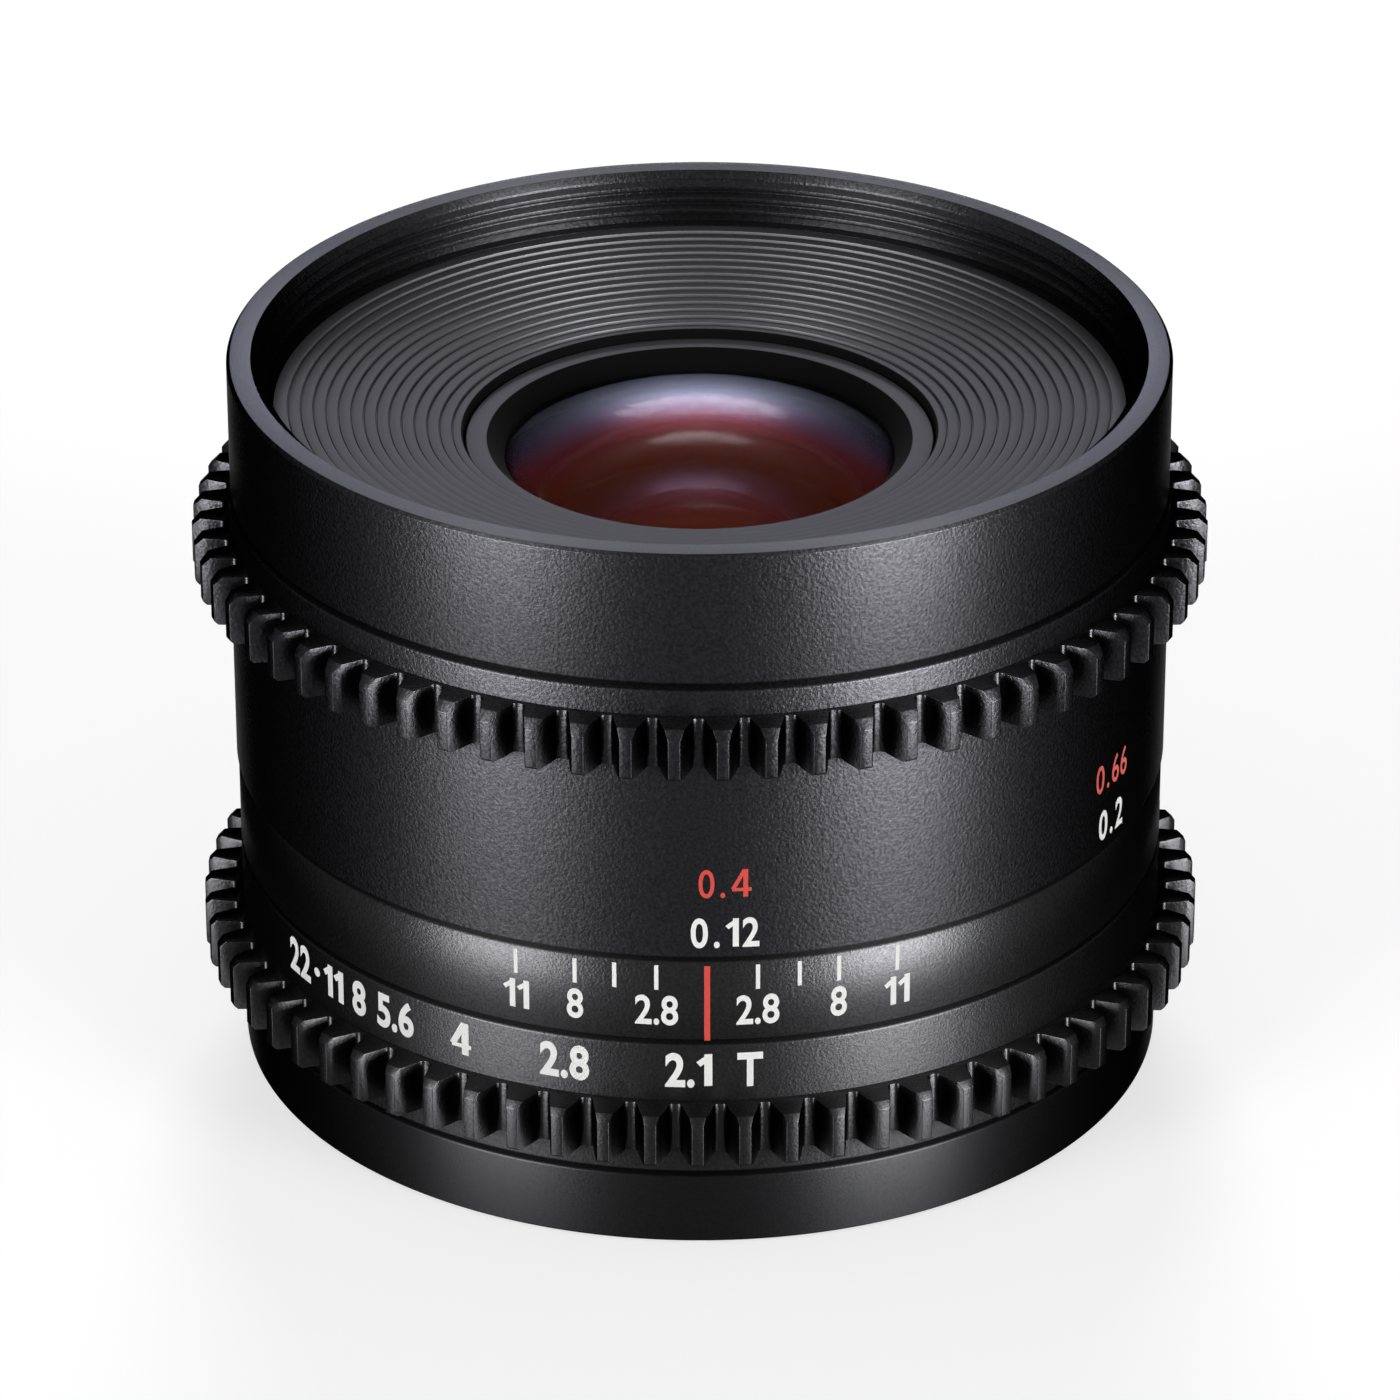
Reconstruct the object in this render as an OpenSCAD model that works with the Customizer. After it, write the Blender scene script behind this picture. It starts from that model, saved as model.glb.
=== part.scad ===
// Cinema prime lens with a geared focus ring and a geared aperture ring.
// The origin is on the optical axis at the seating face of the mount, and +Z points to the front.
// The index line of the barrel faces -Y.

/* [Gears] */
// Module of both drive gears
gear_module = 0.8; // [0.7:0.05:0.9]
// Teeth on each drive gear
gear_teeth = 69; // [64:1:74]
// Pressure angle of the teeth, degrees
pressure_angle = 20; // [18:1:22]
// Height of the tooth roots above the focus ring
root_step = 0.3; // [0.2:0.05:0.5]
// Share of the root gap that stays flat between the fillets
root_flat = 0.35; // [0.2:0.05:0.6]
// Height of the root fillets
root_fillet = 0.28; // [0.15:0.01:0.4]
// Face width of the focus gear
focus_gear_w = 2.9; // [2.2:0.1:3.6]
// Face width of the aperture gear
aperture_gear_w = 3; // [2.2:0.1:3.4]
// Chamfer on the front corners of the focus teeth
focus_tooth_chamfer = 0.5; // [0.2:0.05:0.7]
// Chamfer on the front corners of the aperture teeth
aperture_tooth_chamfer = 0.35; // [0.2:0.05:0.7]
// Chamfer on the rear corners of all teeth
tooth_back_chamfer = 0.2; // [0.1:0.05:0.4]
// Turn of the focus gear: angle of one tooth from the index line, degrees
focus_gear_phase = -2.77; // [-5:0.01:5]
// Turn of the aperture gear: angle of one tooth from the index line, degrees
aperture_gear_phase = -0.31; // [-5:0.01:5]

/* [Barrel lengths] */
// Height of the base ring above the seating face of the mount
flange_proud = 0.5; // [0.3:0.05:0.7]
// Length of the base ring
base_h = 4.15; // [3.8:0.05:5]
// Gap between the base ring and the aperture ring
base_gap = 0.3; // [0.2:0.05:0.5]
// Length of the aperture ring
aperture_ring_h = 7.95; // [7:0.05:9]
// Length of the aperture ring's numbered band, in front of its gear
aperture_band_h = 3.45; // [3:0.05:3.6]
// Gap between the aperture ring and the index band
aperture_gap = 0.3; // [0.2:0.05:0.5]
// Length of the fixed index band
index_band_h = 4.85; // [4:0.05:6]
// Gap between the index band and the focus ring
focus_gap = 0.3; // [0.2:0.05:0.5]
// Length of the focus ring
focus_ring_h = 16.1; // [15:0.1:18]
// Length of the collar in front of the focus gear
focus_collar_h = 1.45; // [1.2:0.05:2.5]
// Gap between the focus ring and the front barrel
front_gap = 0.35; // [0.25:0.05:0.5]
// Length of the front barrel
front_barrel_h = 7.6; // [7.2:0.1:9]

/* [Barrel walls] */
// Height of the focus ring above the other barrels
ring_proud = 0.1; // [0.05:0.05:0.3]
// Wall of the focus ring
focus_wall = 1.8; // [1.6:0.05:2]
// Wall of the cam sleeve
cam_wall = 1.83; // [1.6:0.01:2]
// Wall of the main barrel under the focus ring
journal_wall = 1; // [0.8:0.05:1.2]
// Wall of the carriage
carriage_wall = 1.3; // [1.2:0.05:1.5]
// Wall of the aperture ring
aperture_wall = 2.55; // [2.3:0.05:2.8]
// Chamfer on the edges of the barrels and rings
edge = 0.12; // [0.05:0.01:0.2]
// Radial clearance of running and sliding fits
run_fit = 0.05; // [0.03:0.01:0.08]
// Radial clearance of seats and threads
seat_fit = 0.02; // [0.01:0.005:0.03]
// Clearance on each side of a slip washer
washer_fit = 0.02; // [0.01:0.005:0.04]
// Radial width of the slip washers
washer_w = 1.4; // [1:0.05:1.45]
// Distance of the washers' bores from the barrel
washer_gap = 0.1; // [0.05:0.01:0.15]

/* [Front barrel] */
// Width of the rim's front face, chamfers left out
rim_w = 1.15; // [0.9:0.05:1.3]
// Chamfer on the outside of the rim
rim_edge = 0.2; // [0.1:0.05:0.3]
// Nominal diameter of the filter thread
filter_d = 49; // [48:0.1:49.4]
// Pitch of the filter thread
filter_pitch = 0.75; // [0.5:0.05:1]
// Full turns of the filter thread
filter_turns = 3; // [2:1:3]
// Depth of the lead-in in front of the thread
filter_lead = 0.4; // [0.3:0.05:0.5]
// Depth of the baffle's outer band below the rim
baffle_depth = 3.05; // [2.9:0.05:3.4]
// Step of the baffle's edge inside the thread
baffle_inset = 0.4; // [0.3:0.05:0.5]
// Thickness of the baffle
baffle_t = 1; // [0.8:0.05:1.2]
// Width of the baffle's smooth outer band
baffle_band = 0.77; // [0.6:0.01:1.2]
// Width of one step of the baffle
baffle_step_w = 0.7; // [0.5:0.01:0.8]
// Height of one step of the baffle
baffle_step_h = 0.133; // [0.08:0.001:0.14]
// Gap between the baffle and the front cell
baffle_gap = 0.14; // [0.1:0.01:0.2]
// Wall of the baffle's inner tube
baffle_tube_wall = 0.8; // [0.6:0.05:1]
// Length of the baffle's inner tube below the steps
baffle_tube_h = 1.9; // [1.5:0.1:2.1]
// Depth of the socket that goes over the main barrel
socket_h = 1.8; // [1.5:0.1:2]
// Thickness of the flange that the screws hold
front_flange_t = 0.9; // [0.8:0.05:0.95]
// Width of the shoulder under the baffle
baffle_shoulder_w = 0.8; // [0.6:0.05:1]
// Thickness of the main barrel's front flange
barrel_flange_t = 1.6; // [1.4:0.1:2]
// Width of the flanges that the front barrel screws go through
barrel_flange_w = 3.2; // [2.8:0.1:3.6]

/* [Focus drive] */
// Turn of the focus ring, degrees
focus_throw = 100; // [80:1:104]
// Travel of the optics over that turn
focus_travel = 1.5; // [1:0.05:1.8]
// Radius of the follower pins
follower_r = 1; // [0.8:0.05:1.1]
// Radius of the pins' threaded shanks
follower_shank_r = 0.7; // [0.6:0.05:0.75]
// Distance of the follower pins behind the front face of the optics
follower_drop = 7; // [6.8:0.1:7.4]
// Thickness of the lip that holds the cam sleeve
lip_t = 1.4; // [1.2:0.05:1.5]
// Step of the cam sleeve behind the end of the focus ring
cam_inset = 0.35; // [0.3:0.05:0.5]
// Length of the carriage in front of the follower pins
carriage_front_h = 2.6; // [2.2:0.1:3]
// Length of the carriage behind the follower pins
carriage_rear_h = 8.4; // [7.5:0.1:9]
// Width of the carriage's ledge
ledge_w = 1.95; // [1.8:0.05:2.2]
// Thickness of the carriage's ledge
ledge_t = 1.6; // [1.4:0.1:2]

/* [Front optics] */
// Depth of the front cell's face below the rim
cell_recess = 5.42; // [5.3:0.02:5.8]
// Radius of the front cell
cell_r = 13.06; // [12.9:0.02:13.4]
// Height of the front retaining ring's cap
cap_h = 1; // [0.9:0.05:1.2]
// Width of the cap's flat face
cap_face_w = 1.2; // [1:0.05:1.4]
// Distance from the cap's face to the front glass edge
clamp_h = 1.4; // [1.3:0.05:1.7]
// Radial clearance of a glass element in its cell
glass_fit = 0.05; // [0.03:0.01:0.08]
// Step of a seat's or spacer's bore outside the clear glass
seat_step = 0.1; // [0.05:0.05:0.2]
// Gap of the cement between two glasses
cement = 0.02; // [0.01:0.01:0.04]
// Radius of glass 1
lens_1_r = 12.2; // [12:0.05:12.4]
// Edge of glass 1
lens_1_edge = 2.5; // [2.2:0.05:2.8]
// Front curve of glass 1
lens_1_front = 21.4; // [20:0.2:26]
// Flat land round the front of glass 1
lens_1_front_land = 1.3; // [1.1:0.05:1.5]
// Back curve of glass 1, hollow
lens_1_back = 13; // [12:0.2:16]
// Flat land round the back of glass 1
lens_1_back_land = 3.5; // [3.2:0.05:4]
// Length of the spacer between glasses 1 and 2
spacer_1_h = 2.1; // [1.9:0.05:2.5]
// Radius of glass 2
lens_2_r = 10.6; // [10.2:0.05:10.9]
// Edge of glass 2
lens_2_edge = 1.6; // [1.4:0.05:1.9]
// Front curve of glass 2
lens_2_front = 14; // [12.6:0.2:18]
// Flat land round the front of glass 2
lens_2_front_land = 2.3; // [2:0.05:2.6]
// Back curve of glass 2, hollow
lens_2_back = 8.2; // [7.6:0.1:10]
// Flat land round the back of glass 2
lens_2_back_land = 4.2; // [3.8:0.05:4.6]
// Thickness of the shoulder between glasses 2 and 3
shoulder_1_t = 0.8; // [0.6:0.05:1.2]
// Radius of glasses 3 and 4
doublet_1_r = 7.2; // [6.8:0.05:7.6]
// Edge of glass 3
lens_3_edge = 1.6; // [1.2:0.05:2]
// Front curve of glass 3
lens_3_front = 15; // [13:0.2:20]
// Flat land round the front of glass 3
lens_3_front_land = 0.6; // [0.5:0.05:0.8]
// Cemented curve between glasses 3 and 4
cement_1_curve = 11; // [10:0.2:14]
// Edge of glass 4
lens_4_edge = 4.4; // [4:0.05:5]
// Back curve of glass 4, hollow
lens_4_back = 22; // [18:0.5:30]
// Flat land round the back of glass 4
lens_4_back_land = 1.4; // [1.2:0.05:1.8]
// Height of the lock rings
lock_h = 1.2; // [1:0.05:1.4]
// Length of the front cell behind its lock ring
cell_tail_h = 1; // [0.8:0.05:1.3]
// Radius of the front cell's neck
cell_neck_r = 11; // [10.5:0.05:11.5]
// Thickness of the front cell's flange
cell_flange_t = 1.6; // [1.3:0.1:1.8]
// Gap between the flange and the carriage's wall
cell_flange_gap = 0.15; // [0.1:0.01:0.2]

/* [Iris] */
// Turn of the aperture ring, degrees
aperture_throw = 57; // [50:1:60]
// Turn of each blade over that, degrees
blade_turn = 28; // [24:0.5:28.5]
// Radius of the fixed stop
stop_r = 4.5; // [4.2:0.05:4.8]
// Distance of the open blades outside the stop
blade_clear = 0.1; // [0.05:0.01:0.2]
// Width of a blade
blade_w = 3; // [2.8:0.05:3.1]
// Sweep of a blade, degrees
blade_sweep = 130; // [120:1:134]
// Thickness of a blade
blade_t = 0.1; // [0.06:0.01:0.12]
// Height from one blade to the next
blade_pitch = 0.16; // [0.15:0.01:0.2]
// Radius of the pivot circle
blade_pivot_r = 8.6; // [8.5:0.05:9]
// Distance from a blade's pivot to its drive pin
blade_arm = 3.5; // [3.2:0.05:3.8]
// Radius of the blades' pins
blade_pin_r = 0.4; // [0.3:0.05:0.45]
// Width of a blade's ear
blade_ear_w = 1.4; // [1.2:0.05:1.5]
// Clearance above and below the blades and the actuator
iris_gap = 0.1; // [0.08:0.01:0.15]
// Thickness of the iris housing's plate
iris_plate_t = 0.8; // [0.7:0.05:1]
// Radius inside the iris housing
iris_r = 12.6; // [12.3:0.05:12.8]
// Wall of the iris housing
iris_wall = 1; // [0.8:0.05:1.2]
// Length of the front cell's spigot in the iris housing
spigot_h = 0.8; // [0.6:0.05:1]
// Thickness of the iris actuator
actuator_t = 0.7; // [0.5:0.05:0.8]
// Radius of the hole in the iris actuator
actuator_hole_r = 5.2; // [5:0.05:5.6]
// Outer radius of the actuator's fork arm
arm_r = 19.3; // [19:0.05:19.6]
// Thickness of the fork
fork_t = 0.9; // [0.7:0.05:1.1]
// Width of the fork arm
arm_w = 4; // [3.4:0.1:4.4]
// Radius of the aperture drive pin
drive_pin_r = 0.8; // [0.6:0.05:0.9]
// Distance of the drive pin behind the front of the aperture ring
drive_pin_drop = 1.7; // [1.5:0.05:2]
// Depth of the drive pin in the aperture ring
drive_pin_seat = 1; // [0.8:0.05:1.3]
// Reach of the fork past the drive pin
fork_reach = 1.8; // [1.5:0.05:2.2]
// Room at each end of the arm's window in the iris housing, degrees
window_room = 2; // [1:0.5:4]
// Room in the fork and the slots beyond the pins' travel
slot_room = 0.15; // [0.1:0.01:0.25]

/* [Rear optics] */
// Length of the thread that joins the rear cell to the iris housing
rear_thread_h = 2; // [1.6:0.1:2.2]
// Radius of that thread
rear_thread_r = 11; // [10.8:0.05:11.4]
// Wall of the iris housing's rear tube
rear_tube_wall = 1.2; // [1:0.05:1.4]
// Thickness of the rear cell's collar
rear_collar_t = 1; // [0.8:0.05:1.2]
// Radius of the rear cell
rear_cell_r = 8.3; // [8:0.05:8.8]
// Depth of glass 5 behind the iris housing
rear_inset = 2.2; // [2:0.05:2.6]
// Height of the rear group's lock ring
rear_lock_h = 1; // [0.8:0.05:1.2]
// Radius of glasses 5 and 6
doublet_2_r = 6; // [5.8:0.05:6.3]
// Edge of glass 5
lens_5_edge = 1; // [0.8:0.05:1.3]
// Front curve of glass 5
lens_5_front = 9; // [8.4:0.1:12]
// Flat land round the front of glass 5
lens_5_front_land = 0.8; // [0.6:0.05:1]
// Cemented curve between glasses 5 and 6
cement_2_curve = 8; // [7.6:0.1:10]
// Edge of glass 6
lens_6_edge = 4.4; // [4:0.05:5]
// Back curve of glass 6, hollow
lens_6_back = 14; // [12:0.2:18]
// Flat land round the back of glass 6
lens_6_back_land = 1.2; // [1:0.05:1.4]
// Thickness of the shoulder between glasses 6 and 7
shoulder_2_t = 1.5; // [1.4:0.05:1.8]
// Lip of that shoulder that holds glass 6
shoulder_2_lip = 0.3; // [0.2:0.05:0.4]
// Radius of glasses 7 and 8
rear_glass_r = 7; // [6.8:0.05:7.3]
// Flat land round glasses 7 and 8
rear_land = 0.6; // [0.5:0.05:0.8]
// Edge of glass 7
lens_7_edge = 1.2; // [1:0.05:1.5]
// Front curve of glass 7
lens_7_front = 12; // [11.4:0.1:16]
// Back curve of glass 7
lens_7_back = 18; // [16:0.5:24]
// Length of the spacer between glasses 7 and 8
spacer_2_h = 1.7; // [1.6:0.05:2]
// Edge of glass 8
lens_8_edge = 1.3; // [1.2:0.05:1.6]
// Front curve of glass 8, hollow
lens_8_front = 30; // [26:0.5:40]
// Back curve of glass 8
lens_8_back = 14; // [12:0.2:18]

/* [Mount] */
// Radius of the mount's flange
mount_r = 24.6; // [24.2:0.05:24.9]
// Distance of the mount screws from the edge of the flange
screw_inset = 1.9; // [1.7:0.05:2]
// Least wall of the base ring round the mount's flange
base_wall = 1.55; // [1.4:0.05:1.6]
// Thickness of the mount's flange
mount_t = 1.6; // [1.4:0.05:1.8]
// Thickness of the shim
shim_t = 0.2; // [0.1:0.05:0.3]
// Radius of the light hole through the mount's flange
mount_hole_r = 16.4; // [16:0.05:16.8]
// Outer radius of the bayonet tube
bayonet_r = 18.9; // [18.7:0.05:19.1]
// Wall of the bayonet tube
bayonet_wall = 1.3; // [1.1:0.05:1.5]
// Length of the bayonet tube
bayonet_h = 4.6; // [4.2:0.1:5]
// Outer radius of the bayonet lugs
lug_r = 20.3; // [20:0.05:20.5]
// Thickness of the lugs
lug_t = 1.3; // [1.1:0.05:1.5]
// Distance from the seating face to the lugs
lug_drop = 1.7; // [1.5:0.05:1.9]
// Sweep of each lug, degrees
lug_sweep = 52; // [44:1:58]
// Radius of the relief round the bayonet tube
relief_r = 20.8; // [20.6:0.05:21]
// Depth of that relief
relief_t = 0.3; // [0.2:0.05:0.4]
// Width of the notch for the lock pin
lock_notch_w = 3.2; // [2.6:0.1:3.4]
// Depth of the notch
lock_notch_t = 1.1; // [0.9:0.05:1.2]
// Thickness of the base's floor
floor_t = 1.4; // [1.3:0.05:1.6]
// Radius of the hole in the base's floor
floor_hole_r = 17.2; // [17:0.05:17.6]
// Thickness of the rear light shield
shield_t = 1; // [0.8:0.05:1.2]
// Height of the shield's rim
shield_rim_h = 2.4; // [2:0.1:3]
// Wall of the shield's rim
shield_wall = 0.8; // [0.6:0.05:1]
// Radius of the shield's opening
shield_hole_r = 9.6; // [9.4:0.05:10]
// Radius of the mount index bead
bead_r = 0.55; // [0.4:0.05:0.6]
// Depth of the bead in the base
bead_seat = 0.6; // [0.5:0.05:0.8]
// Height of the bead above the base
bead_proud = 0.12; // [0.08:0.01:0.2]

/* [Screws] */
// Radius of the front barrel screws
front_screw_r = 0.7; // [0.5:0.05:0.8]
// Radius of the mount screws
mount_screw_r = 0.8; // [0.6:0.05:0.9]
// Radius of the base screws
base_screw_r = 0.6; // [0.5:0.05:0.7]
// Radius of the ring screws
ring_screw_r = 0.4; // [0.3:0.05:0.45]
// Radius of the carriage screws
carriage_screw_r = 0.55; // [0.4:0.05:0.6]
// Radius of a screw head beyond its thread
head_extra = 0.35; // [0.25:0.05:0.4]
// Height of a screw head
head_h = 0.6; // [0.5:0.05:0.7]
// Width of the slot in a screw head
screw_slot_w = 0.25; // [0.2:0.05:0.3]
// Depth of the slot in a screw head
screw_slot_t = 0.25; // [0.15:0.05:0.3]
// Depth of the screw heads below their faces
head_sink = 0.05; // [0.02:0.01:0.1]
// Length of the threads of all screws in their holes
grip = 1.1; // [0.9:0.05:1.2]

/* [Hidden] */
$fn = 120;

// Distance by which a cutting shape passes the face it cuts
past = 1;
// Sink of one joined shape into the next
join = 0.05;
// Angle of the index line
index_a = -90;
// Standard depth of a tooth below the pitch circle, in modules
root_depth = 1.25;
// Standard half angle of a screw thread's flanks
thread_a = 30;

// Radii from the gears inwards
pitch_r = gear_module * gear_teeth / 2;
tip_r = pitch_r + gear_module;
root_r = pitch_r - root_depth * gear_module;
flank_base_r = pitch_r * cos(pressure_angle);
ring_r = root_r - root_step;
barrel_r = ring_r - ring_proud;
focus_bore_r = ring_r - focus_wall;
cam_r = focus_bore_r - seat_fit;
cam_bore_r = cam_r - cam_wall;
journal_r = cam_bore_r - run_fit;
barrel_bore_r = journal_r - journal_wall;
carriage_r = barrel_bore_r - run_fit;
carriage_in_r = carriage_r - carriage_wall;
aperture_bore_r = barrel_r - aperture_wall;
rear_journal_r = aperture_bore_r - run_fit;
flange_in_r = journal_r - barrel_flange_w;
base_seat_r = mount_r + run_fit;
base_r = max(barrel_r, base_seat_r + base_wall);
bead_at = base_seat_r + base_wall / 2;

// Levels along the axis, from the mount to the front
base_z0 = flange_proud;
base_z1 = base_z0 + base_h;
aperture_z0 = base_z1 + base_gap;
aperture_z1 = aperture_z0 + aperture_ring_h;
index_z0 = aperture_z1 + aperture_gap;
index_z1 = index_z0 + index_band_h;
focus_z0 = index_z1 + focus_gap;
focus_z1 = focus_z0 + focus_ring_h;
front_z0 = focus_z1 + front_gap;
rim_z = front_z0 + front_barrel_h;
shim_z1 = mount_t + shim_t;
floor_z1 = shim_z1 + floor_t;
barrel_z1 = front_z0 + socket_h;
focus_gear_z = focus_z1 - focus_collar_h - focus_gear_w;
aperture_gear_z = aperture_z1 - aperture_band_h - aperture_gear_w;
lip_z = focus_z1 - lip_t;
cam_z0 = focus_z0 + cam_inset;

// Filter thread
filter_r = filter_d / 2;
thread_depth = 5 / 8 * filter_pitch * cos(thread_a);
filter_minor_r = filter_r - thread_depth;
thread_flank = thread_depth * tan(thread_a);
rim_r = barrel_r - rim_edge - rim_w;

// Baffle
baffle_r = filter_minor_r - baffle_inset;
baffle_hole_r = cell_r + baffle_gap;
baffle_steps = floor((baffle_r - baffle_band - baffle_hole_r) / baffle_step_w) + 1;
baffle_z = rim_z - baffle_depth;
baffle_inner_z = baffle_z - baffle_steps * baffle_step_h;
baffle_seat_z = baffle_z - baffle_t;
shoulder_r = baffle_r - baffle_shoulder_w;

// Front optics, measured back from the face of the front cell
face_z = rim_z - cell_recess;
lens_1_z = face_z - clamp_h;
spacer_1_z = lens_1_z - lens_1_edge;
lens_2_z = spacer_1_z - spacer_1_h;
seat_2_z = lens_2_z - lens_2_edge;
lens_3_z = seat_2_z - shoulder_1_t;
lens_4_z = lens_3_z - lens_3_edge;
lock_z = lens_4_z - lens_4_edge;
iris_z1 = lock_z - lock_h - cell_tail_h;
cell_bore_r = lens_1_r + glass_fit;
cap_bore_r = lens_1_r - lens_1_front_land;
spacer_1_in_r = lens_1_r - lens_1_back_land + seat_step;
spacer_step_z = lens_2_z + spacer_1_h / 3;
follower_z = face_z - follower_drop;
carriage_z1 = follower_z + carriage_front_h;
carriage_z0 = follower_z - carriage_rear_h;
ledge_z0 = follower_z - follower_r - cell_flange_t - ledge_t;
ledge_z1 = ledge_z0 + ledge_t;
cell_flange_r = carriage_in_r - cell_flange_gap;
follower_angles = [30, 150, 270];

// Iris, from the front of its housing back
blade_count = 5;
blade_in_r = stop_r + blade_clear;
blade_out_r = blade_in_r + blade_w;
spigot_z = iris_z1 - spigot_h;
actuator_z1 = spigot_z - iris_gap;
actuator_z0 = actuator_z1 - actuator_t;
blade_top_z = actuator_z0 - iris_gap;
blade_z0 = blade_top_z - (blade_count - 1) * blade_pitch - blade_t;
plate_z1 = blade_z0 - iris_gap;
iris_z0 = plate_z1 - iris_plate_t;
iris_outer_r = iris_r + iris_wall;
drive_ratio = blade_turn / aperture_throw;
blade_pin_fit = run_fit;

// Aperture drive
drive_a = 90;
drive_pin_z = aperture_z1 - drive_pin_drop;
fork_z0 = drive_pin_z - fork_reach;
fork_top_z = drive_pin_z + focus_travel + drive_pin_r + slot_room;

// Rear optics, measured back from the iris housing
lens_5_z = iris_z0 - rear_inset;
lens_6_z = lens_5_z - lens_5_edge;
seat_6_z = lens_6_z - lens_6_edge;
lens_7_z = seat_6_z - shoulder_2_t;
spacer_2_z = lens_7_z - lens_7_edge;
lens_8_z = spacer_2_z - spacer_2_h;
rear_ring_z = lens_8_z - lens_8_edge;
rear_end_z = rear_ring_z - rear_lock_h;
doublet_2_bore = doublet_2_r + glass_fit;
rear_bore_r = rear_glass_r + glass_fit;
rear_clear_r = rear_glass_r - rear_land + seat_step;

// Screw circles
front_screw_circle = (journal_r + flange_in_r) / 2;
base_screw_circle = (rear_journal_r + barrel_bore_r) / 2;
mount_screw_circle = mount_r - screw_inset;
ring_screw_circle = (cam_r + cam_bore_r) / 2;
carriage_screw_circle = carriage_in_r - ledge_w / 2;
mount_grip = shim_z1 - head_h + grip;
base_grip = floor_t - head_h + grip;
ring_grip = lip_t - head_h + grip;
carriage_grip = cell_flange_t - head_h + grip;

black = "#1c1c1e";
dull_black = "#131314";
steel = "#8d9094";
brass = "#b8954a";
chrome = "#c8cacc";
glass = "#8a6fae";
slip = "#26262a";
red_bead = "#b3261e";
blade_steel = "#2b2b2e";

module lathe(profile) {
    rotate_extrude() polygon(profile);
}

module ring(r0, r1, z0, z1) {
    lathe([[r0, z0], [r1, z0], [r1, z1], [r0, z1]]);
}

// Round bar along a radius
module spoke(a, z, r0, r1, r) {
    rotate([0, 0, a]) translate([r0, 0, z]) rotate([0, 90, 0]) cylinder(r = r, h = r1 - r0);
}

// Round bar along the axis, at a distance from it
module post(a, at_r, z0, z1, r) {
    rotate([0, 0, a]) translate([at_r, 0, z0]) cylinder(r = r, h = z1 - z0);
}

// Slotted cheese-head screw, head up, with the top of its head at z = 0
module screw(r, grip_h) {
    difference() {
        union() {
            translate([0, 0, -head_h]) cylinder(r = r + head_extra, h = head_h);
            translate([0, 0, -head_h - grip_h]) cylinder(r = r, h = grip_h + join);
        }
        translate([-past - r, -screw_slot_w / 2, -screw_slot_t])
            cube([2 * (past + r), screw_slot_w, past]);
    }
}

// Hole for that screw, with a counterbore open to the front
module screw_hole(r, grip_h) {
    translate([0, 0, -head_h]) cylinder(r = r + head_extra + run_fit, h = head_h + past);
    translate([0, 0, -head_h - grip_h - run_fit])
        cylinder(r = r + seat_fit, h = grip_h + run_fit + join);
}

// Copies of a child spread round the axis at a radius
module around(count, start, at_r) {
    for (i = [0 : count - 1]) rotate([0, 0, start + i * 360 / count])
        translate([at_r, 0, 0]) children();
}

// Places of the screws, with the tops of their heads just below the faces that they hold
module at_front_screws() {
    translate([0, 0, barrel_z1 + front_flange_t - head_sink]) around(4, 45, front_screw_circle) children();
}

module at_base_screws() {
    translate([0, 0, shim_z1 + head_sink]) mirror([0, 0, 1]) around(4, 0, base_screw_circle) children();
}

module at_mount_screws() {
    translate([0, 0, head_sink]) mirror([0, 0, 1]) around(4, 45, mount_screw_circle) children();
}

module at_ring_screws() {
    translate([0, 0, focus_z1 - head_sink]) around(3, 30, ring_screw_circle) children();
}

module at_carriage_screws() {
    translate([0, 0, ledge_z1 + cell_flange_t - head_sink]) around(3, 90, carriage_screw_circle) children();
}

// Lens with flat lands; a positive curve bulges outwards, a negative one is hollow
module lens(r, z_front, edge_h, front, front_land, back, back_land) {
    z_back = z_front - edge_h;
    front_clear = r - front_land;
    back_clear = r - back_land;
    front_rise = sqrt(front * front - front_clear * front_clear);
    back_rise = sqrt(back * back - back_clear * back_clear);
    difference() {
        union() {
            translate([0, 0, z_back]) cylinder(r = r, h = edge_h);
            if (front > 0) intersection() {
                translate([0, 0, z_front - front_rise]) sphere(r = front);
                translate([0, 0, z_front - join]) cylinder(r = front_clear, h = front);
            }
            if (back > 0) intersection() {
                translate([0, 0, z_back + back_rise]) sphere(r = back);
                translate([0, 0, z_back + join - back]) cylinder(r = back_clear, h = back);
            }
        }
        if (front < 0) translate([0, 0, z_front + front_rise]) sphere(r = -front);
        if (back < 0) translate([0, 0, z_back - back_rise]) sphere(r = -back);
    }
}

function flank_roll(r) = let (a = acos(flank_base_r / r)) tan(a) * 180 / PI - a;
function half_tooth(r) = 90 / gear_teeth + flank_roll(pitch_r) - flank_roll(r);
function polar(r, a) = [r * cos(a), r * sin(a)];

// One involute tooth, from its left root to its right root
function tooth(a) =
    let (
        flank = [for (i = [0 : 3]) root_r + root_fillet + i * (tip_r - root_r - root_fillet) / 3],
        root_half = 180 / gear_teeth - root_flat * (180 / gear_teeth - half_tooth(root_r))
    )
    concat(
        [polar(root_r, a - root_half)],
        [for (r = flank) polar(r, a - half_tooth(r))],
        [for (i = [3 : -1 : 0]) polar(flank[i], a + half_tooth(flank[i]))],
        [polar(root_r, a + root_half)]
    );

module gear(z, width, phase, chamfer) {
    teeth = [for (i = [0 : gear_teeth - 1]) each tooth(index_a + phase + i * 360 / gear_teeth)];
    intersection() {
        translate([0, 0, z]) linear_extrude(width) polygon(teeth);
        lathe([
            [0, z], [tip_r - tooth_back_chamfer, z], [tip_r + join, z + tooth_back_chamfer + join],
            [tip_r + join, z + width - chamfer - join], [tip_r - chamfer, z + width], [0, z + width]
        ]);
    }
}

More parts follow.
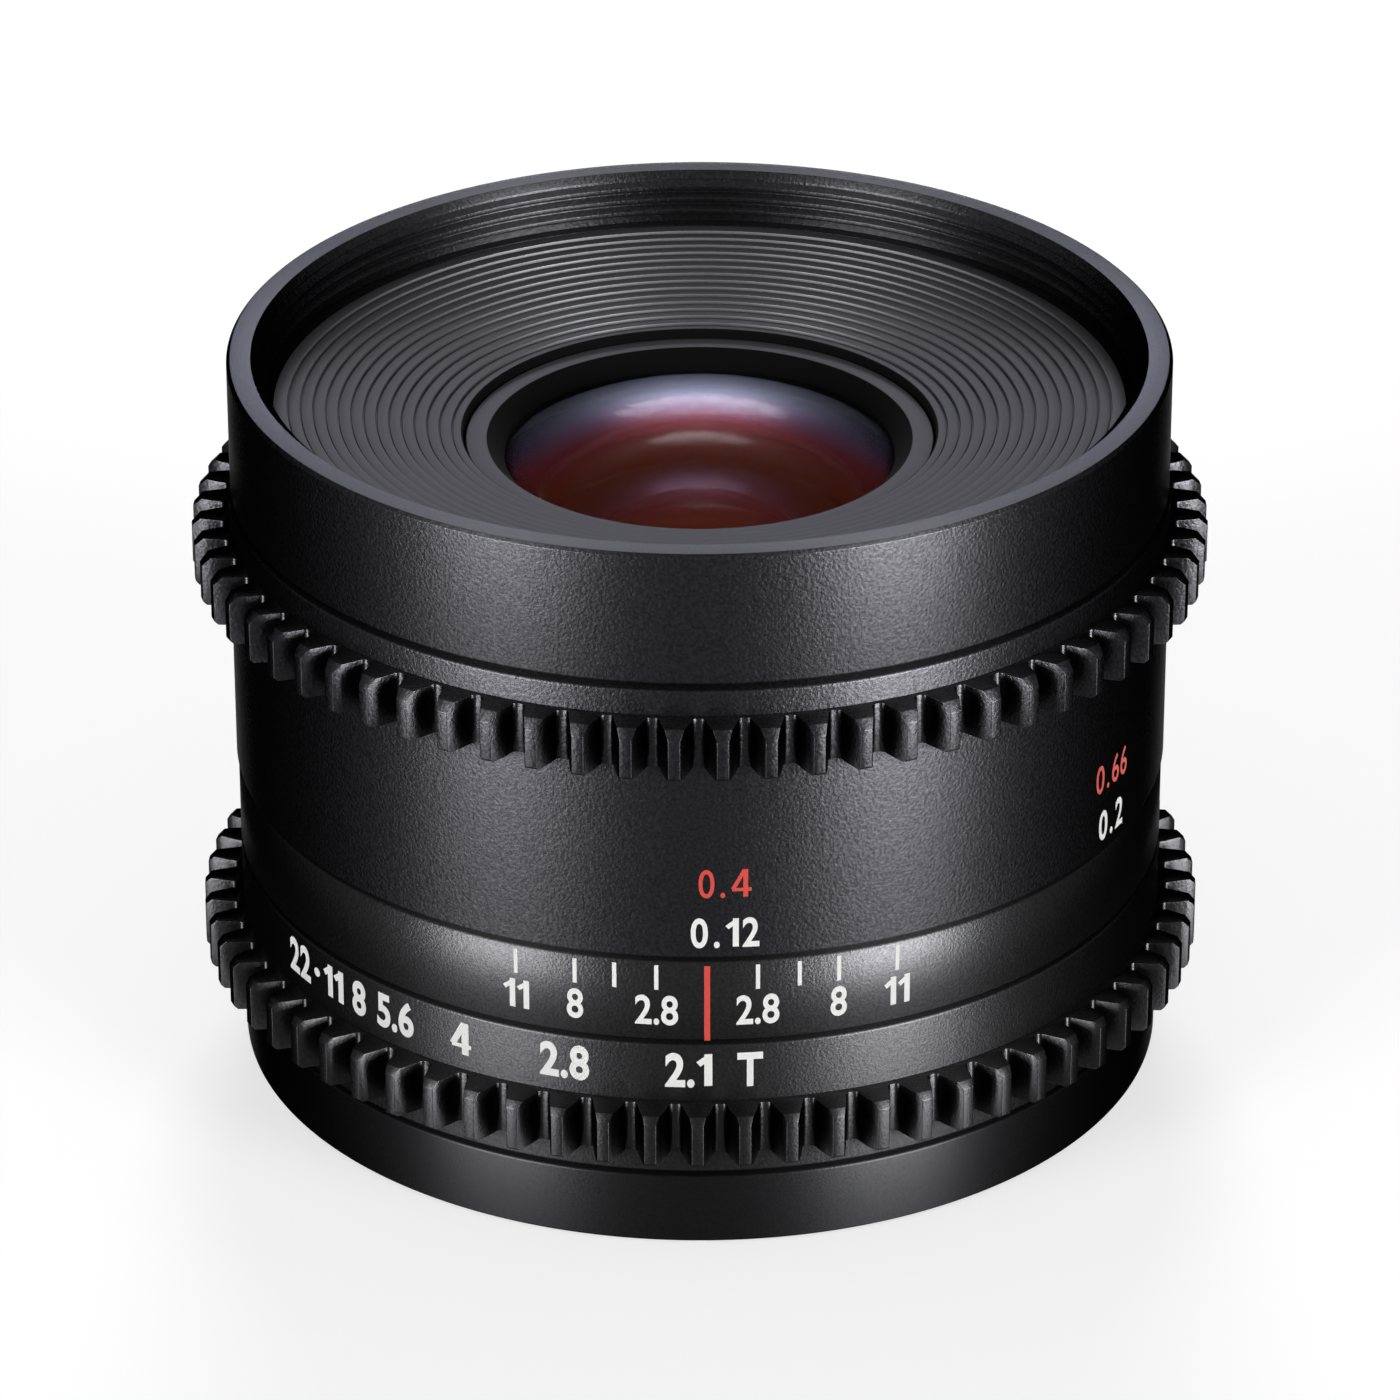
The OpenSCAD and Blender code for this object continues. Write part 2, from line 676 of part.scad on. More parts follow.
module front_barrel() {
    z0 = rim_z - filter_lead;
    seat_r = baffle_r + glass_fit;
    thread = [for (i = [0 : filter_turns - 1]) let (z = z0 - i * filter_pitch) each [
        [filter_r, z],
        [filter_r, z - filter_pitch / 8],
        [filter_minor_r, z - filter_pitch / 8 - thread_flank],
        [filter_minor_r, z - 3 * filter_pitch / 8 - thread_flank]
    ]];
    color(black) difference() {
        lathe(concat(
            [
                [journal_r + seat_fit, front_z0], [barrel_r - edge, front_z0],
                [barrel_r, front_z0 + edge], [barrel_r, rim_z - rim_edge],
                [barrel_r - rim_edge, rim_z], [rim_r, rim_z]
            ],
            thread,
            [
                [filter_r, z0 - filter_turns * filter_pitch], [filter_r, baffle_z],
                [seat_r, baffle_z], [seat_r, baffle_seat_z], [shoulder_r, baffle_seat_z],
                [shoulder_r, barrel_z1 + front_flange_t], [flange_in_r, barrel_z1 + front_flange_t],
                [flange_in_r, barrel_z1], [journal_r + seat_fit, barrel_z1]
            ]
        ));
        at_front_screws() screw_hole(front_screw_r, grip);
    }
}

module front_baffle() {
    inner_under_z = baffle_inner_z - baffle_t;
    tube_r = baffle_hole_r + baffle_tube_wall;
    band_r = baffle_r - baffle_band;
    steps = [for (i = [1 : baffle_steps]) let (r = band_r - (i - 1) * baffle_step_w) each [
        [r, baffle_z - (i - 1) * baffle_step_h],
        [r, baffle_z - i * baffle_step_h]
    ]];
    color(black) lathe(concat(
        [[baffle_r, baffle_z]],
        steps,
        [
            [baffle_hole_r, baffle_inner_z], [baffle_hole_r, baffle_inner_z - baffle_tube_h],
            [tube_r, baffle_inner_z - baffle_tube_h], [tube_r, inner_under_z],
            [shoulder_r, baffle_seat_z], [baffle_r, baffle_seat_z]
        ]
    ));
}

module front_barrel_screws() {
    color(steel) at_front_screws() screw(front_screw_r, grip);
}

module main_barrel() {
    slot_r = follower_r + run_fit;
    pin_slot_r = drive_pin_r + slot_room;
    color(black) difference() {
        lathe([
            [barrel_bore_r, floor_z1], [rear_journal_r, floor_z1], [rear_journal_r, index_z0],
            [barrel_r - edge, index_z0], [barrel_r, index_z0 + edge], [barrel_r, index_z1 - edge],
            [barrel_r - edge, index_z1], [journal_r, index_z1], [journal_r, barrel_z1],
            [flange_in_r, barrel_z1], [flange_in_r, barrel_z1 - barrel_flange_t],
            [barrel_bore_r, barrel_z1 - barrel_flange_t]
        ]);
        for (a = follower_angles) {
            spoke(a, follower_z, barrel_bore_r - past, journal_r + past, slot_r);
            spoke(a, follower_z - focus_travel, barrel_bore_r - past, journal_r + past, slot_r);
            rotate([0, 0, a]) translate([barrel_bore_r - past, -slot_r, follower_z - focus_travel])
                cube([journal_wall + 2 * past, 2 * slot_r, focus_travel]);
        }
        for (a = [drive_a, drive_a + aperture_throw])
            spoke(a, drive_pin_z, barrel_bore_r - past, rear_journal_r + past, pin_slot_r);
        rotate([0, 0, drive_a]) rotate_extrude(angle = aperture_throw)
            translate([barrel_bore_r - past, drive_pin_z - pin_slot_r])
            square([rear_journal_r - barrel_bore_r + 2 * past, 2 * pin_slot_r]);
        at_front_screws() screw_hole(front_screw_r, grip);
        at_base_screws() screw_hole(base_screw_r, base_grip);
    }
}

module focus_front_washer() {
    r0 = journal_r + washer_gap;
    color(slip) ring(r0, r0 + washer_w, focus_z1 + washer_fit, front_z0 - washer_fit);
}

module focus_rear_washer() {
    r0 = journal_r + washer_gap;
    color(slip) ring(r0, r0 + washer_w, index_z1 + washer_fit, cam_z0 - washer_fit);
}

module aperture_front_washer() {
    r0 = rear_journal_r + washer_gap;
    color(slip) ring(r0, r0 + washer_w, aperture_z1 + washer_fit, index_z0 - washer_fit);
}

module aperture_rear_washer() {
    r0 = rear_journal_r + washer_gap;
    color(slip) ring(r0, r0 + washer_w, base_z1 + washer_fit, aperture_z0 - washer_fit);
}

module base_ring() {
    color(black) difference() {
        lathe([
            [base_seat_r, base_z0], [base_r - edge, base_z0], [base_r, base_z0 + edge],
            [base_r, base_z1 - edge], [base_r - edge, base_z1],
            [rear_journal_r + seat_fit, base_z1], [rear_journal_r + seat_fit, floor_z1],
            [floor_hole_r, floor_z1], [floor_hole_r, shim_z1], [base_seat_r, shim_z1]
        ]);
        at_base_screws() screw_hole(base_screw_r, base_grip);
        at_mount_screws() screw_hole(mount_screw_r, mount_grip);
        post(index_a, bead_at, base_z0 - past, base_z0 + bead_seat, bead_r + seat_fit);
    }
}

module base_screws() {
    color(steel) at_base_screws() screw(base_screw_r, base_grip);
}

module mount_shim() {
    color(brass) difference() {
        ring(floor_hole_r, mount_r, mount_t, shim_z1);
        at_mount_screws() screw_hole(mount_screw_r, mount_grip);
    }
}

module lens_mount() {
    tube_in_r = bayonet_r - bayonet_wall;
    color(chrome) difference() {
        union() {
            lathe([
                [mount_hole_r, mount_t], [mount_hole_r, 0], [tube_in_r, 0], [tube_in_r, -bayonet_h],
                [bayonet_r - edge, -bayonet_h], [bayonet_r, edge - bayonet_h], [bayonet_r, relief_t],
                [relief_r, relief_t], [relief_r, 0], [mount_r - edge, 0], [mount_r, edge],
                [mount_r, mount_t]
            ]);
            for (a = [0, 120, 240]) rotate([0, 0, a]) rotate_extrude(angle = lug_sweep)
                translate([tube_in_r + bayonet_wall / 2, -lug_drop - lug_t])
                square([lug_r - tube_in_r - bayonet_wall / 2, lug_t]);
        }
        at_mount_screws() screw_hole(mount_screw_r, mount_grip);
        post(180, mount_screw_circle, -past, lock_notch_t, lock_notch_w / 2);
    }
}

module mount_screws() {
    color(steel) at_mount_screws() screw(mount_screw_r, mount_grip);
}

module mount_index_bead() {
    color(red_bead) post(index_a, bead_at, base_z0 - bead_proud, base_z0 + bead_seat, bead_r);
}

module rear_light_shield() {
    r1 = bayonet_r - bayonet_wall - seat_fit;
    color(dull_black) lathe([
        [shield_hole_r, 0], [shield_hole_r, -shield_t], [r1 - shield_wall, -shield_t],
        [r1 - shield_wall, -shield_rim_h], [r1, -shield_rim_h], [r1, 0]
    ]);
}

module focus_ring() {
    color(black) difference() {
        union() {
            lathe([
                [focus_bore_r, focus_z0], [ring_r - edge, focus_z0], [ring_r, focus_z0 + edge],
                [ring_r, focus_z1 - edge], [ring_r - edge, focus_z1],
                [journal_r + washer_gap, focus_z1], [journal_r + washer_gap, lip_z],
                [focus_bore_r, lip_z]
            ]);
            difference() {
                gear(focus_gear_z, focus_gear_w, focus_gear_phase, focus_tooth_chamfer);
                cylinder(r = (ring_r + focus_bore_r) / 2, h = rim_z);
            }
        }
        at_ring_screws() screw_hole(ring_screw_r, ring_grip);
    }
}

// Helical cam slot with square ends, as wide as the follower pin, running back round the sleeve
module cam_slot(a) {
    half = follower_r + run_fit;
    r0 = cam_bore_r - past;
    r1 = cam_r + past;
    end_a = asin(half / cam_bore_r);
    sweep = focus_throw + 2 * end_a;
    parts = 20;
    points = [for (i = [0 : parts]) let (
        t = i * sweep / parts - end_a,
        z = follower_z - t * focus_travel / focus_throw
    ) each [
        [r0 * cos(a + t), r0 * sin(a + t), z - half], [r1 * cos(a + t), r1 * sin(a + t), z - half],
        [r1 * cos(a + t), r1 * sin(a + t), z + half], [r0 * cos(a + t), r0 * sin(a + t), z + half]
    ]];
    sides = [for (i = [0 : parts - 1], k = [0 : 3]) let (
        p = 4 * i + k,
        q = 4 * i + (k + 1) % 4
    ) each [[p, q, q + 4], [p, q + 4, p + 4]]];
    last = 4 * parts;
    ends = [[2, 1, 0], [3, 2, 0], [last + 1, last + 2, last], [last + 2, last + 3, last]];
    polyhedron(points, concat(sides, ends));
}

module focus_cam_sleeve() {
    color(brass) difference() {
        ring(cam_bore_r, cam_r, cam_z0, lip_z);
        for (a = follower_angles) cam_slot(a);
        at_ring_screws() screw_hole(ring_screw_r, ring_grip);
    }
}

module focus_ring_screws() {
    color(steel) at_ring_screws() screw(ring_screw_r, ring_grip);
}

module optics_carriage() {
    color(black) difference() {
        lathe([
            [carriage_in_r, carriage_z0], [carriage_r, carriage_z0], [carriage_r, carriage_z1],
            [carriage_in_r, carriage_z1], [carriage_in_r, ledge_z1],
            [carriage_in_r - ledge_w, ledge_z1], [carriage_in_r - ledge_w, ledge_z0],
            [carriage_in_r, ledge_z0]
        ]);
        for (a = follower_angles)
            spoke(a, follower_z, carriage_in_r - past, carriage_r + past, follower_shank_r + seat_fit);
        at_carriage_screws() screw_hole(carriage_screw_r, carriage_grip);
    }
}

module carriage_screws() {
    color(steel) at_carriage_screws() screw(carriage_screw_r, carriage_grip);
}

module follower_pins() {
    color(brass) for (a = follower_angles) {
        spoke(a, follower_z, carriage_in_r, carriage_r + run_fit, follower_shank_r);
        spoke(a, follower_z, carriage_r + run_fit / 2, cam_r - run_fit, follower_r);
    }
}

module front_cell() {
    flange_z1 = ledge_z1 + cell_flange_t;
    seat_r = doublet_1_r - lens_3_front_land + seat_step;
    color(black) difference() {
        lathe([
            [cell_bore_r, face_z - cap_h], [cell_r, face_z - cap_h],
            [cell_r, flange_z1], [cell_flange_r, flange_z1],
            [cell_flange_r, ledge_z1], [cell_neck_r, ledge_z1], [cell_neck_r, iris_z1 + cell_tail_h],
            [iris_outer_r, iris_z1 + cell_tail_h], [iris_outer_r, iris_z1],
            [iris_r - seat_fit, iris_z1], [iris_r - seat_fit, spigot_z],
            [doublet_1_r + glass_fit, spigot_z], [doublet_1_r + glass_fit, lens_3_z],
            [seat_r, lens_3_z], [seat_r, seat_2_z], [lens_2_r + glass_fit, seat_2_z],
            [lens_2_r + glass_fit, spacer_step_z], [cell_bore_r, spacer_step_z]
        ]);
        at_carriage_screws() screw_hole(carriage_screw_r, carriage_grip);
    }
}

module front_retaining_ring() {
    color(dull_black) lathe([
        [cap_bore_r, lens_1_z], [cell_bore_r - seat_fit, lens_1_z],
        [cell_bore_r - seat_fit, face_z - cap_h],
        [cell_r, face_z - cap_h], [cell_r, face_z], [cell_r - cap_face_w, face_z],
        [cap_bore_r, face_z - cap_h]
    ]);
}

module lens_1() {
    color(glass) lens(lens_1_r, lens_1_z, lens_1_edge, lens_1_front, lens_1_front_land,
        -lens_1_back, lens_1_back_land);
}

module lens_spacer_1() {
    color(black) lathe([
        [spacer_1_in_r, spacer_1_z], [spacer_1_in_r, lens_2_z], [lens_2_r, lens_2_z],
        [lens_2_r, spacer_step_z + seat_fit], [lens_1_r, spacer_step_z + seat_fit], [lens_1_r, spacer_1_z]
    ]);
}

module lens_2() {
    color(glass) lens(lens_2_r, lens_2_z, lens_2_edge, lens_2_front, lens_2_front_land,
        -lens_2_back, lens_2_back_land);
}

module lens_3() {
    color(glass) lens(doublet_1_r, lens_3_z, lens_3_edge, lens_3_front, lens_3_front_land,
        cement_1_curve, 0);
}

module lens_4() {
    color(glass) lens(doublet_1_r, lens_4_z - cement, lens_4_edge - cement, -cement_1_curve, 0,
        -lens_4_back, lens_4_back_land);
}

module front_lock_ring() {
    color(dull_black) ring(doublet_1_r - lens_4_back_land, doublet_1_r, lock_z - lock_h, lock_z);
}

module iris_housing() {
    arm_half_a = asin(arm_w / 2 / iris_r) + window_room;
    color(black) difference() {
        lathe([
            [stop_r, plate_z1], [stop_r, iris_z0], [rear_thread_r, iris_z0],
            [rear_thread_r, iris_z0 - rear_thread_h],
            [rear_thread_r + rear_tube_wall, iris_z0 - rear_thread_h],
            [rear_thread_r + rear_tube_wall, iris_z0], [iris_outer_r, iris_z0],
            [iris_outer_r, iris_z1], [iris_r, iris_z1], [iris_r, plate_z1]
        ]);
        around(blade_count, 0, blade_pivot_r) translate([0, 0, iris_z0 - past])
            cylinder(r = blade_pin_r + blade_pin_fit, h = iris_plate_t + 2 * past);
        rotate([0, 0, drive_a - arm_half_a]) rotate_extrude(angle = aperture_throw + 2 * arm_half_a)
            translate([iris_r - past / 2, actuator_z0 - iris_gap])
            square([iris_wall + past, iris_z1 - actuator_z0 + iris_gap + past]);
    }
}

module rear_cell() {
    hole_r = doublet_2_r - lens_6_back_land + seat_step;
    color(black) lathe([
        [doublet_2_bore, iris_z0], [rear_thread_r - seat_fit, iris_z0],
        [rear_thread_r - seat_fit, iris_z0 - rear_thread_h],
        [rear_thread_r + rear_tube_wall, iris_z0 - rear_thread_h],
        [rear_thread_r + rear_tube_wall, iris_z0 - rear_thread_h - rear_collar_t],
        [rear_cell_r, iris_z0 - rear_thread_h - rear_collar_t], [rear_cell_r, rear_end_z],
        [rear_bore_r, rear_end_z], [rear_bore_r, lens_7_z],
        [rear_clear_r, lens_7_z], [hole_r, seat_6_z - shoulder_2_lip],
        [hole_r, seat_6_z], [doublet_2_bore, seat_6_z]
    ]);
}

module rear_lock_ring() {
    color(dull_black) ring(doublet_2_r - lens_5_front_land, doublet_2_r, lens_5_z, lens_5_z + rear_lock_h);
}

module lens_5() {
    color(glass) lens(doublet_2_r, lens_5_z, lens_5_edge, lens_5_front, lens_5_front_land,
        cement_2_curve, 0);
}

module lens_6() {
    color(glass) lens(doublet_2_r, lens_6_z - cement, lens_6_edge - cement, -cement_2_curve, 0,
        -lens_6_back, lens_6_back_land);
}

module lens_7() {
    color(glass) lens(rear_glass_r, lens_7_z, lens_7_edge, lens_7_front, rear_land, lens_7_back, rear_land);
}

module lens_spacer_2() {
    color(black) ring(rear_clear_r, rear_glass_r, lens_8_z, spacer_2_z);
}

module lens_8() {
    color(glass) lens(rear_glass_r, lens_8_z, lens_8_edge, -lens_8_front, rear_land, lens_8_back, rear_land);
}

module rear_retaining_ring() {
    color(dull_black) ring(rear_clear_r, rear_glass_r, rear_end_z, rear_ring_z);
}

// Place of the first blade's drive pin, seen from the actuator after it has turned by an angle
function drive_point(t) =
    let (
        b = drive_ratio * t,
        x = blade_pivot_r + blade_arm * sin(b),
        y = -blade_arm * cos(b)
    )
    [x * cos(t) + y * sin(t), y * cos(t) - x * sin(t)];

// Cam slot of the actuator: the path of a drive pin, with round ends
module blade_slot() {
    half = blade_pin_r + blade_pin_fit;
    steps = 24;
    cap = 6;
    path = [for (i = [0 : steps]) drive_point(i * aperture_throw / steps)];
    ways = [for (i = [0 : steps]) let (d = path[min(i + 1, steps)] - path[max(i - 1, 0)]) d / norm(d)];
    sides = [for (d = ways) [-d[1], d[0]]];
    polygon(concat(
        [for (i = [0 : steps]) path[i] + half * sides[i]],
        [for (k = [1 : cap - 1]) let (a = 180 * k / cap)
            path[steps] + half * (sides[steps] * cos(a) + ways[steps] * sin(a))],
        [for (i = [steps : -1 : 0]) path[i] - half * sides[i]],
        [for (k = [1 : cap - 1]) let (a = 180 * k / cap)
            path[0] - half * (sides[0] * cos(a) + ways[0] * sin(a))]
    ));
}

module iris_actuator() {
    color(brass) difference() {
        union() {
            translate([0, 0, actuator_z0]) linear_extrude(actuator_t) difference() {
                circle(r = iris_r - run_fit);
                circle(r = actuator_hole_r);
                for (i = [0 : blade_count - 1]) rotate(i * 360 / blade_count) blade_slot();
            }
            rotate([0, 0, drive_a]) {
                translate([iris_r - past, -arm_w / 2, actuator_z0])
                    cube([arm_r - iris_r + past, arm_w, actuator_t]);
                translate([arm_r - fork_t, -arm_w / 2, fork_z0])
                    cube([fork_t, arm_w, actuator_z1 - fork_z0]);
            }
        }
        rotate([0, 0, drive_a])
            translate([arm_r - fork_t - past / 2, -drive_pin_r - run_fit, fork_z0 - past])
            cube([fork_t + past, 2 * (drive_pin_r + run_fit), fork_top_z - fork_z0 + past]);
    }
}

// Straight strip with round ends
module strip(p, q, w) {
    d = q - p;
    n = [-d[1], d[0]] / norm(d) * w / 2;
    polygon([p + n, p - n, q - n, q + n]);
    for (c = [p, q]) translate(c) circle(d = w);
}

// Crescent blade on its own level, with a pivot pin to the rear and a drive pin to the front
module iris_blade(i) {
    z = blade_z0 + i * blade_pitch;
    mid_r = (blade_in_r + blade_out_r) / 2;
    pivot = [blade_pivot_r, 0];
    drive = drive_point(0);
    far = 2 * blade_out_r;
    color(blade_steel) rotate([0, 0, i * 360 / blade_count]) {
        translate([0, 0, z]) linear_extrude(blade_t) {
            intersection() {
                difference() {
                    circle(r = blade_out_r);
                    circle(r = blade_in_r);
                }
                polygon(concat([[0, 0]], [for (k = [0 : 4]) polar(far, k * blade_sweep / 4)]));
            }
            translate(polar(mid_r, blade_sweep)) circle(d = blade_w);
            translate([mid_r, 0]) circle(d = blade_w);
            strip([mid_r, 0], pivot, blade_ear_w);
            strip(pivot, drive, blade_ear_w);
        }
        translate([pivot[0], pivot[1], iris_z0 + iris_gap])
            cylinder(r = blade_pin_r, h = z - iris_z0 - iris_gap + blade_t / 2);
        translate([drive[0], drive[1], z + blade_t / 2])
            cylinder(r = blade_pin_r, h = actuator_z1 - z - blade_t / 2);
    }
}

module aperture_ring() {
    color(black) difference() {
        union() {
            lathe([
                [aperture_bore_r, aperture_z0], [barrel_r - edge, aperture_z0],
                [barrel_r, aperture_z0 + edge], [barrel_r, aperture_z1 - edge],
                [barrel_r - edge, aperture_z1], [aperture_bore_r, aperture_z1]
            ]);
            difference() {
                gear(aperture_gear_z, aperture_gear_w, aperture_gear_phase, aperture_tooth_chamfer);
                cylinder(r = (barrel_r + aperture_bore_r) / 2, h = rim_z);
            }
        }
        spoke(drive_a, drive_pin_z, aperture_bore_r - past, aperture_bore_r + drive_pin_seat + seat_fit,
            drive_pin_r + seat_fit);
    }
}

module aperture_drive_pin() {
    color(steel) spoke(drive_a, drive_pin_z, arm_r - fork_t - slot_room, aperture_bore_r + drive_pin_seat,
        drive_pin_r);
}

front_barrel();
front_baffle();
front_barrel_screws();
main_barrel();
focus_front_washer();
focus_rear_washer();
aperture_front_washer();
aperture_rear_washer();
base_ring();
base_screws();
mount_shim();
lens_mount();
mount_screws();
mount_index_bead();
rear_light_shield();
focus_ring();
focus_cam_sleeve();
focus_ring_screws();
optics_carriage();
carriage_screws();
follower_pins();
front_cell();
front_retaining_ring();
lens_1();
lens_spacer_1();
lens_2();
lens_3();
lens_4();
front_lock_ring();
iris_housing();
rear_cell();
rear_lock_ring();
lens_5();
lens_6();
lens_7();
lens_spacer_2();
lens_8();
rear_retaining_ring();
iris_actuator();
iris_blade(0);  // iris_blade_1
iris_blade(1);  // iris_blade_2
iris_blade(2);  // iris_blade_3
iris_blade(3);  // iris_blade_4
iris_blade(4);  // iris_blade_5
aperture_ring();
aperture_drive_pin();
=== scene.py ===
"""Looks of a small cinema prime lens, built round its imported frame.

The optical axis is Z, the front points up, and the index line of the barrel faces -Y.
"""

import math

import bmesh
import bpy
from mathutils import Matrix, Vector


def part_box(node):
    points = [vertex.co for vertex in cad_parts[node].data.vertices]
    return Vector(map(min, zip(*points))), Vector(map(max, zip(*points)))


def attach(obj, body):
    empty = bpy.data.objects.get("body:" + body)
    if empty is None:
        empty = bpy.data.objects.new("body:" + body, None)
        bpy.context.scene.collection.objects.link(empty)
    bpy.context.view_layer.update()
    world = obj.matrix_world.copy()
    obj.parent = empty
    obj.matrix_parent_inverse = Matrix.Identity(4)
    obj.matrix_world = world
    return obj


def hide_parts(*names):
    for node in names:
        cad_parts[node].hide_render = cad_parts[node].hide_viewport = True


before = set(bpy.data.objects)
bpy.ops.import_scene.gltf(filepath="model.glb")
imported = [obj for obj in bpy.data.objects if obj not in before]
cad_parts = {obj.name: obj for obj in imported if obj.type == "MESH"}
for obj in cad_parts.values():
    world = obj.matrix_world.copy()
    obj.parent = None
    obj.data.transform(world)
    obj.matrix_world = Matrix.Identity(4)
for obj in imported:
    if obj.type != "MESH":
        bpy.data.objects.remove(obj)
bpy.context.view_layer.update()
bpy.context.scene.view_settings.view_transform = "Standard"

# Lens mount
# The camera's bayonet: turned brass under satin chrome, with a flat seating flange, a short tube
# and three lugs. Four slotted screws hold it to the base over a thin brass shim.
mm = 0.001
merge_gap = 0.0005 * mm
smooth_below = math.radians(32)


def linear(hex_colour):
    """An sRGB hex colour as the linear RGBA that a socket takes."""
    parts = [int(hex_colour[i : i + 2], 16) / 255 for i in (1, 3, 5)]
    return (*[c / 12.92 if c <= 0.04045 else ((c + 0.055) / 1.055) ** 2.4 for c in parts], 1.0)


def add(tree, kind, inputs=None, **settings):
    """Adds a node with its settings; an input is a value or another node's output."""
    made = tree.nodes.new(kind)
    for key, value in settings.items():
        setattr(made, key, value)
    for key, value in (inputs or {}).items():
        if isinstance(value, bpy.types.NodeSocket):
            tree.links.new(value, made.inputs[key])
        else:
            made.inputs[key].default_value = value
    return made


def finish(name, **values):
    """A new material with its shader's plain values set; returns it, its tree and its shader."""
    material = bpy.data.materials.new(name)
    material.use_nodes = True
    shader = material.node_tree.nodes["Principled BSDF"]
    for key, value in values.items():
        shader.inputs[key.replace("_", " ").title().replace("Ior", "IOR")].default_value = value
    return material, material.node_tree, shader


def tool_marks(tree, shader, pitch_mm, depth_mm):
    """Bump of turning marks, which run round the axis: noise over the radius and the level.

    Real ones are some hundredths of a millimetre apart. They are drawn coarser, so that they show.
    """
    at = add(tree, "ShaderNodeTexCoord").outputs["Object"]
    flat = add(tree, "ShaderNodeVectorMath", {0: at, 1: (1, 1, 0)}, operation="MULTIPLY")
    reach = add(tree, "ShaderNodeVectorMath", {0: flat.outputs[0]}, operation="LENGTH")
    level = add(tree, "ShaderNodeSeparateXYZ", {0: at}).outputs["Z"]
    line = add(tree, "ShaderNodeCombineXYZ", {"X": reach.outputs["Value"], "Y": level})
    marks = add(
        tree, "ShaderNodeTexNoise",
        {"Vector": line.outputs[0], "Scale": 1 / (pitch_mm * mm), "Detail": 2.0},
    )
    bump = add(tree, "ShaderNodeBump", {"Height": marks.outputs[0], "Distance": depth_mm * mm})
    tree.links.new(bump.outputs[0], shader.inputs["Normal"])


def mottled(tree, shader, grain, dark, light):
    """Lets a surface's colour wander between two shades with a grain."""
    shade = add(
        tree, "ShaderNodeMix", {"Factor": grain, "A": linear(dark), "B": linear(light)},
        data_type="RGBA",
    )
    tree.links.new(shade.outputs["Result"], shader.inputs["Base Color"])


def copied(node):
    """A CAD node's mesh with its loose triangles merged, so that it can be shaded smooth."""
    made = bmesh.new()
    made.from_mesh(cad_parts[node].data)
    bmesh.ops.remove_doubles(made, verts=made.verts[:], dist=merge_gap)
    return made


def place(made, name, body, materials, nodes=()):
    """Turns a bmesh into a piece that rides on a body and stands for CAD nodes."""
    mesh = bpy.data.meshes.new(name)
    made.to_mesh(mesh)
    made.free()
    mesh.shade_smooth()
    mesh.set_sharp_from_angle(angle=smooth_below)
    for material in materials:
        mesh.materials.append(material)
    piece = bpy.data.objects.new(name, mesh)
    bpy.context.scene.collection.objects.link(piece)
    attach(piece, body)
    if nodes:
        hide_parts(*nodes)
    return piece


def dress(material, *nodes):
    """Gives CAD nodes that keep their shape a material."""
    for node in nodes:
        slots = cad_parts[node].data.materials
        slots.clear()
        slots.append(material)


# Satin chrome on turned brass: bright and neutral, with a soft sheen from the turning marks.
satin_chrome, tree, shader = finish(
    "satin_chrome_on_brass", base_color=linear("#c4c6c8"), metallic=1.0, roughness=0.26
)
tool_marks(tree, shader, 0.14, 0.004)
place(copied("lens_mount"), "bayonet", "barrel", [satin_chrome], ["lens_mount"])

# Brass: warm, with faint marks of the tool.
brass, tree, shader = finish(
    "turned_brass", base_color=linear("#b8934d"), metallic=1.0, roughness=0.32
)
tool_marks(tree, shader, 0.1, 0.003)
dress(brass, "mount_shim")

# Blackened steel: a dark oxide with an oily sheen, a little uneven from head to head.
black_oxide, tree, shader = finish("black_oxide_steel", metallic=1.0, roughness=0.38)
at = add(tree, "ShaderNodeTexCoord").outputs["Object"]
bloom = add(tree, "ShaderNodeTexNoise", {"Vector": at, "Scale": 1 / (0.6 * mm), "Detail": 4.0})
mottled(tree, shader, bloom.outputs[0], "#3b3b3e", "#6c6d72")
place(
    copied("mount_screws"), "mount_screw_heads", "barrel", [black_oxide], ["mount_screws"]
)

# Mount index bead
# A red bead of moulded plastic, pressed into the rear face of the base to show where the bayonet
# goes in. Its rim is rounded.
bead_low, bead_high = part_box("mount_index_bead")
bead_r = (bead_high.x - bead_low.x) / 2
bead_round = 0.11
bead = bmesh.new()
bmesh.ops.create_cone(
    bead, cap_ends=True, segments=48, depth=bead_high.z - bead_low.z, radius1=bead_r,
    radius2=bead_r, matrix=Matrix.Translation((bead_low + bead_high) / 2),
)
bead_rim = [e for e in bead.edges if all(abs(v.co.z - bead_low.z) < merge_gap for v in e.verts)]
bmesh.ops.bevel(
    bead, geom=bead_rim, offset=bead_round * mm, affect="EDGES", segments=4, profile=0.5,
    material=-1,
)


def grained(tree, shader, grain_mm, depth_mm, kind="ShaderNodeTexNoise", **inputs):
    """Bump of an even grain of one size; returns the grain, for a colour to follow it."""
    at = add(tree, "ShaderNodeTexCoord").outputs["Object"]
    grain = add(tree, kind, {"Vector": at, "Scale": 1 / (grain_mm * mm), **inputs}).outputs[0]
    bump = add(tree, "ShaderNodeBump", {"Height": grain, "Distance": depth_mm * mm})
    tree.links.new(bump.outputs[0], shader.inputs["Normal"])
    return grain


# Moulded red plastic: glossy, with the faint skin of the mould.
red_plastic, tree, shader = finish(
    "red_moulded_plastic", base_color=linear("#c22a1e"), roughness=0.28
)
grained(tree, shader, 0.2, 0.002)
place(bead, "index_bead", "barrel", [red_plastic], ["mount_index_bead"])

# Rear light shield
# A shallow cup of matt black plastic that clicks into the bayonet tube and hides the barrel's
# inside. Its edges are slightly rounded by the mould.
turn_steps, round_steps = 288, 4


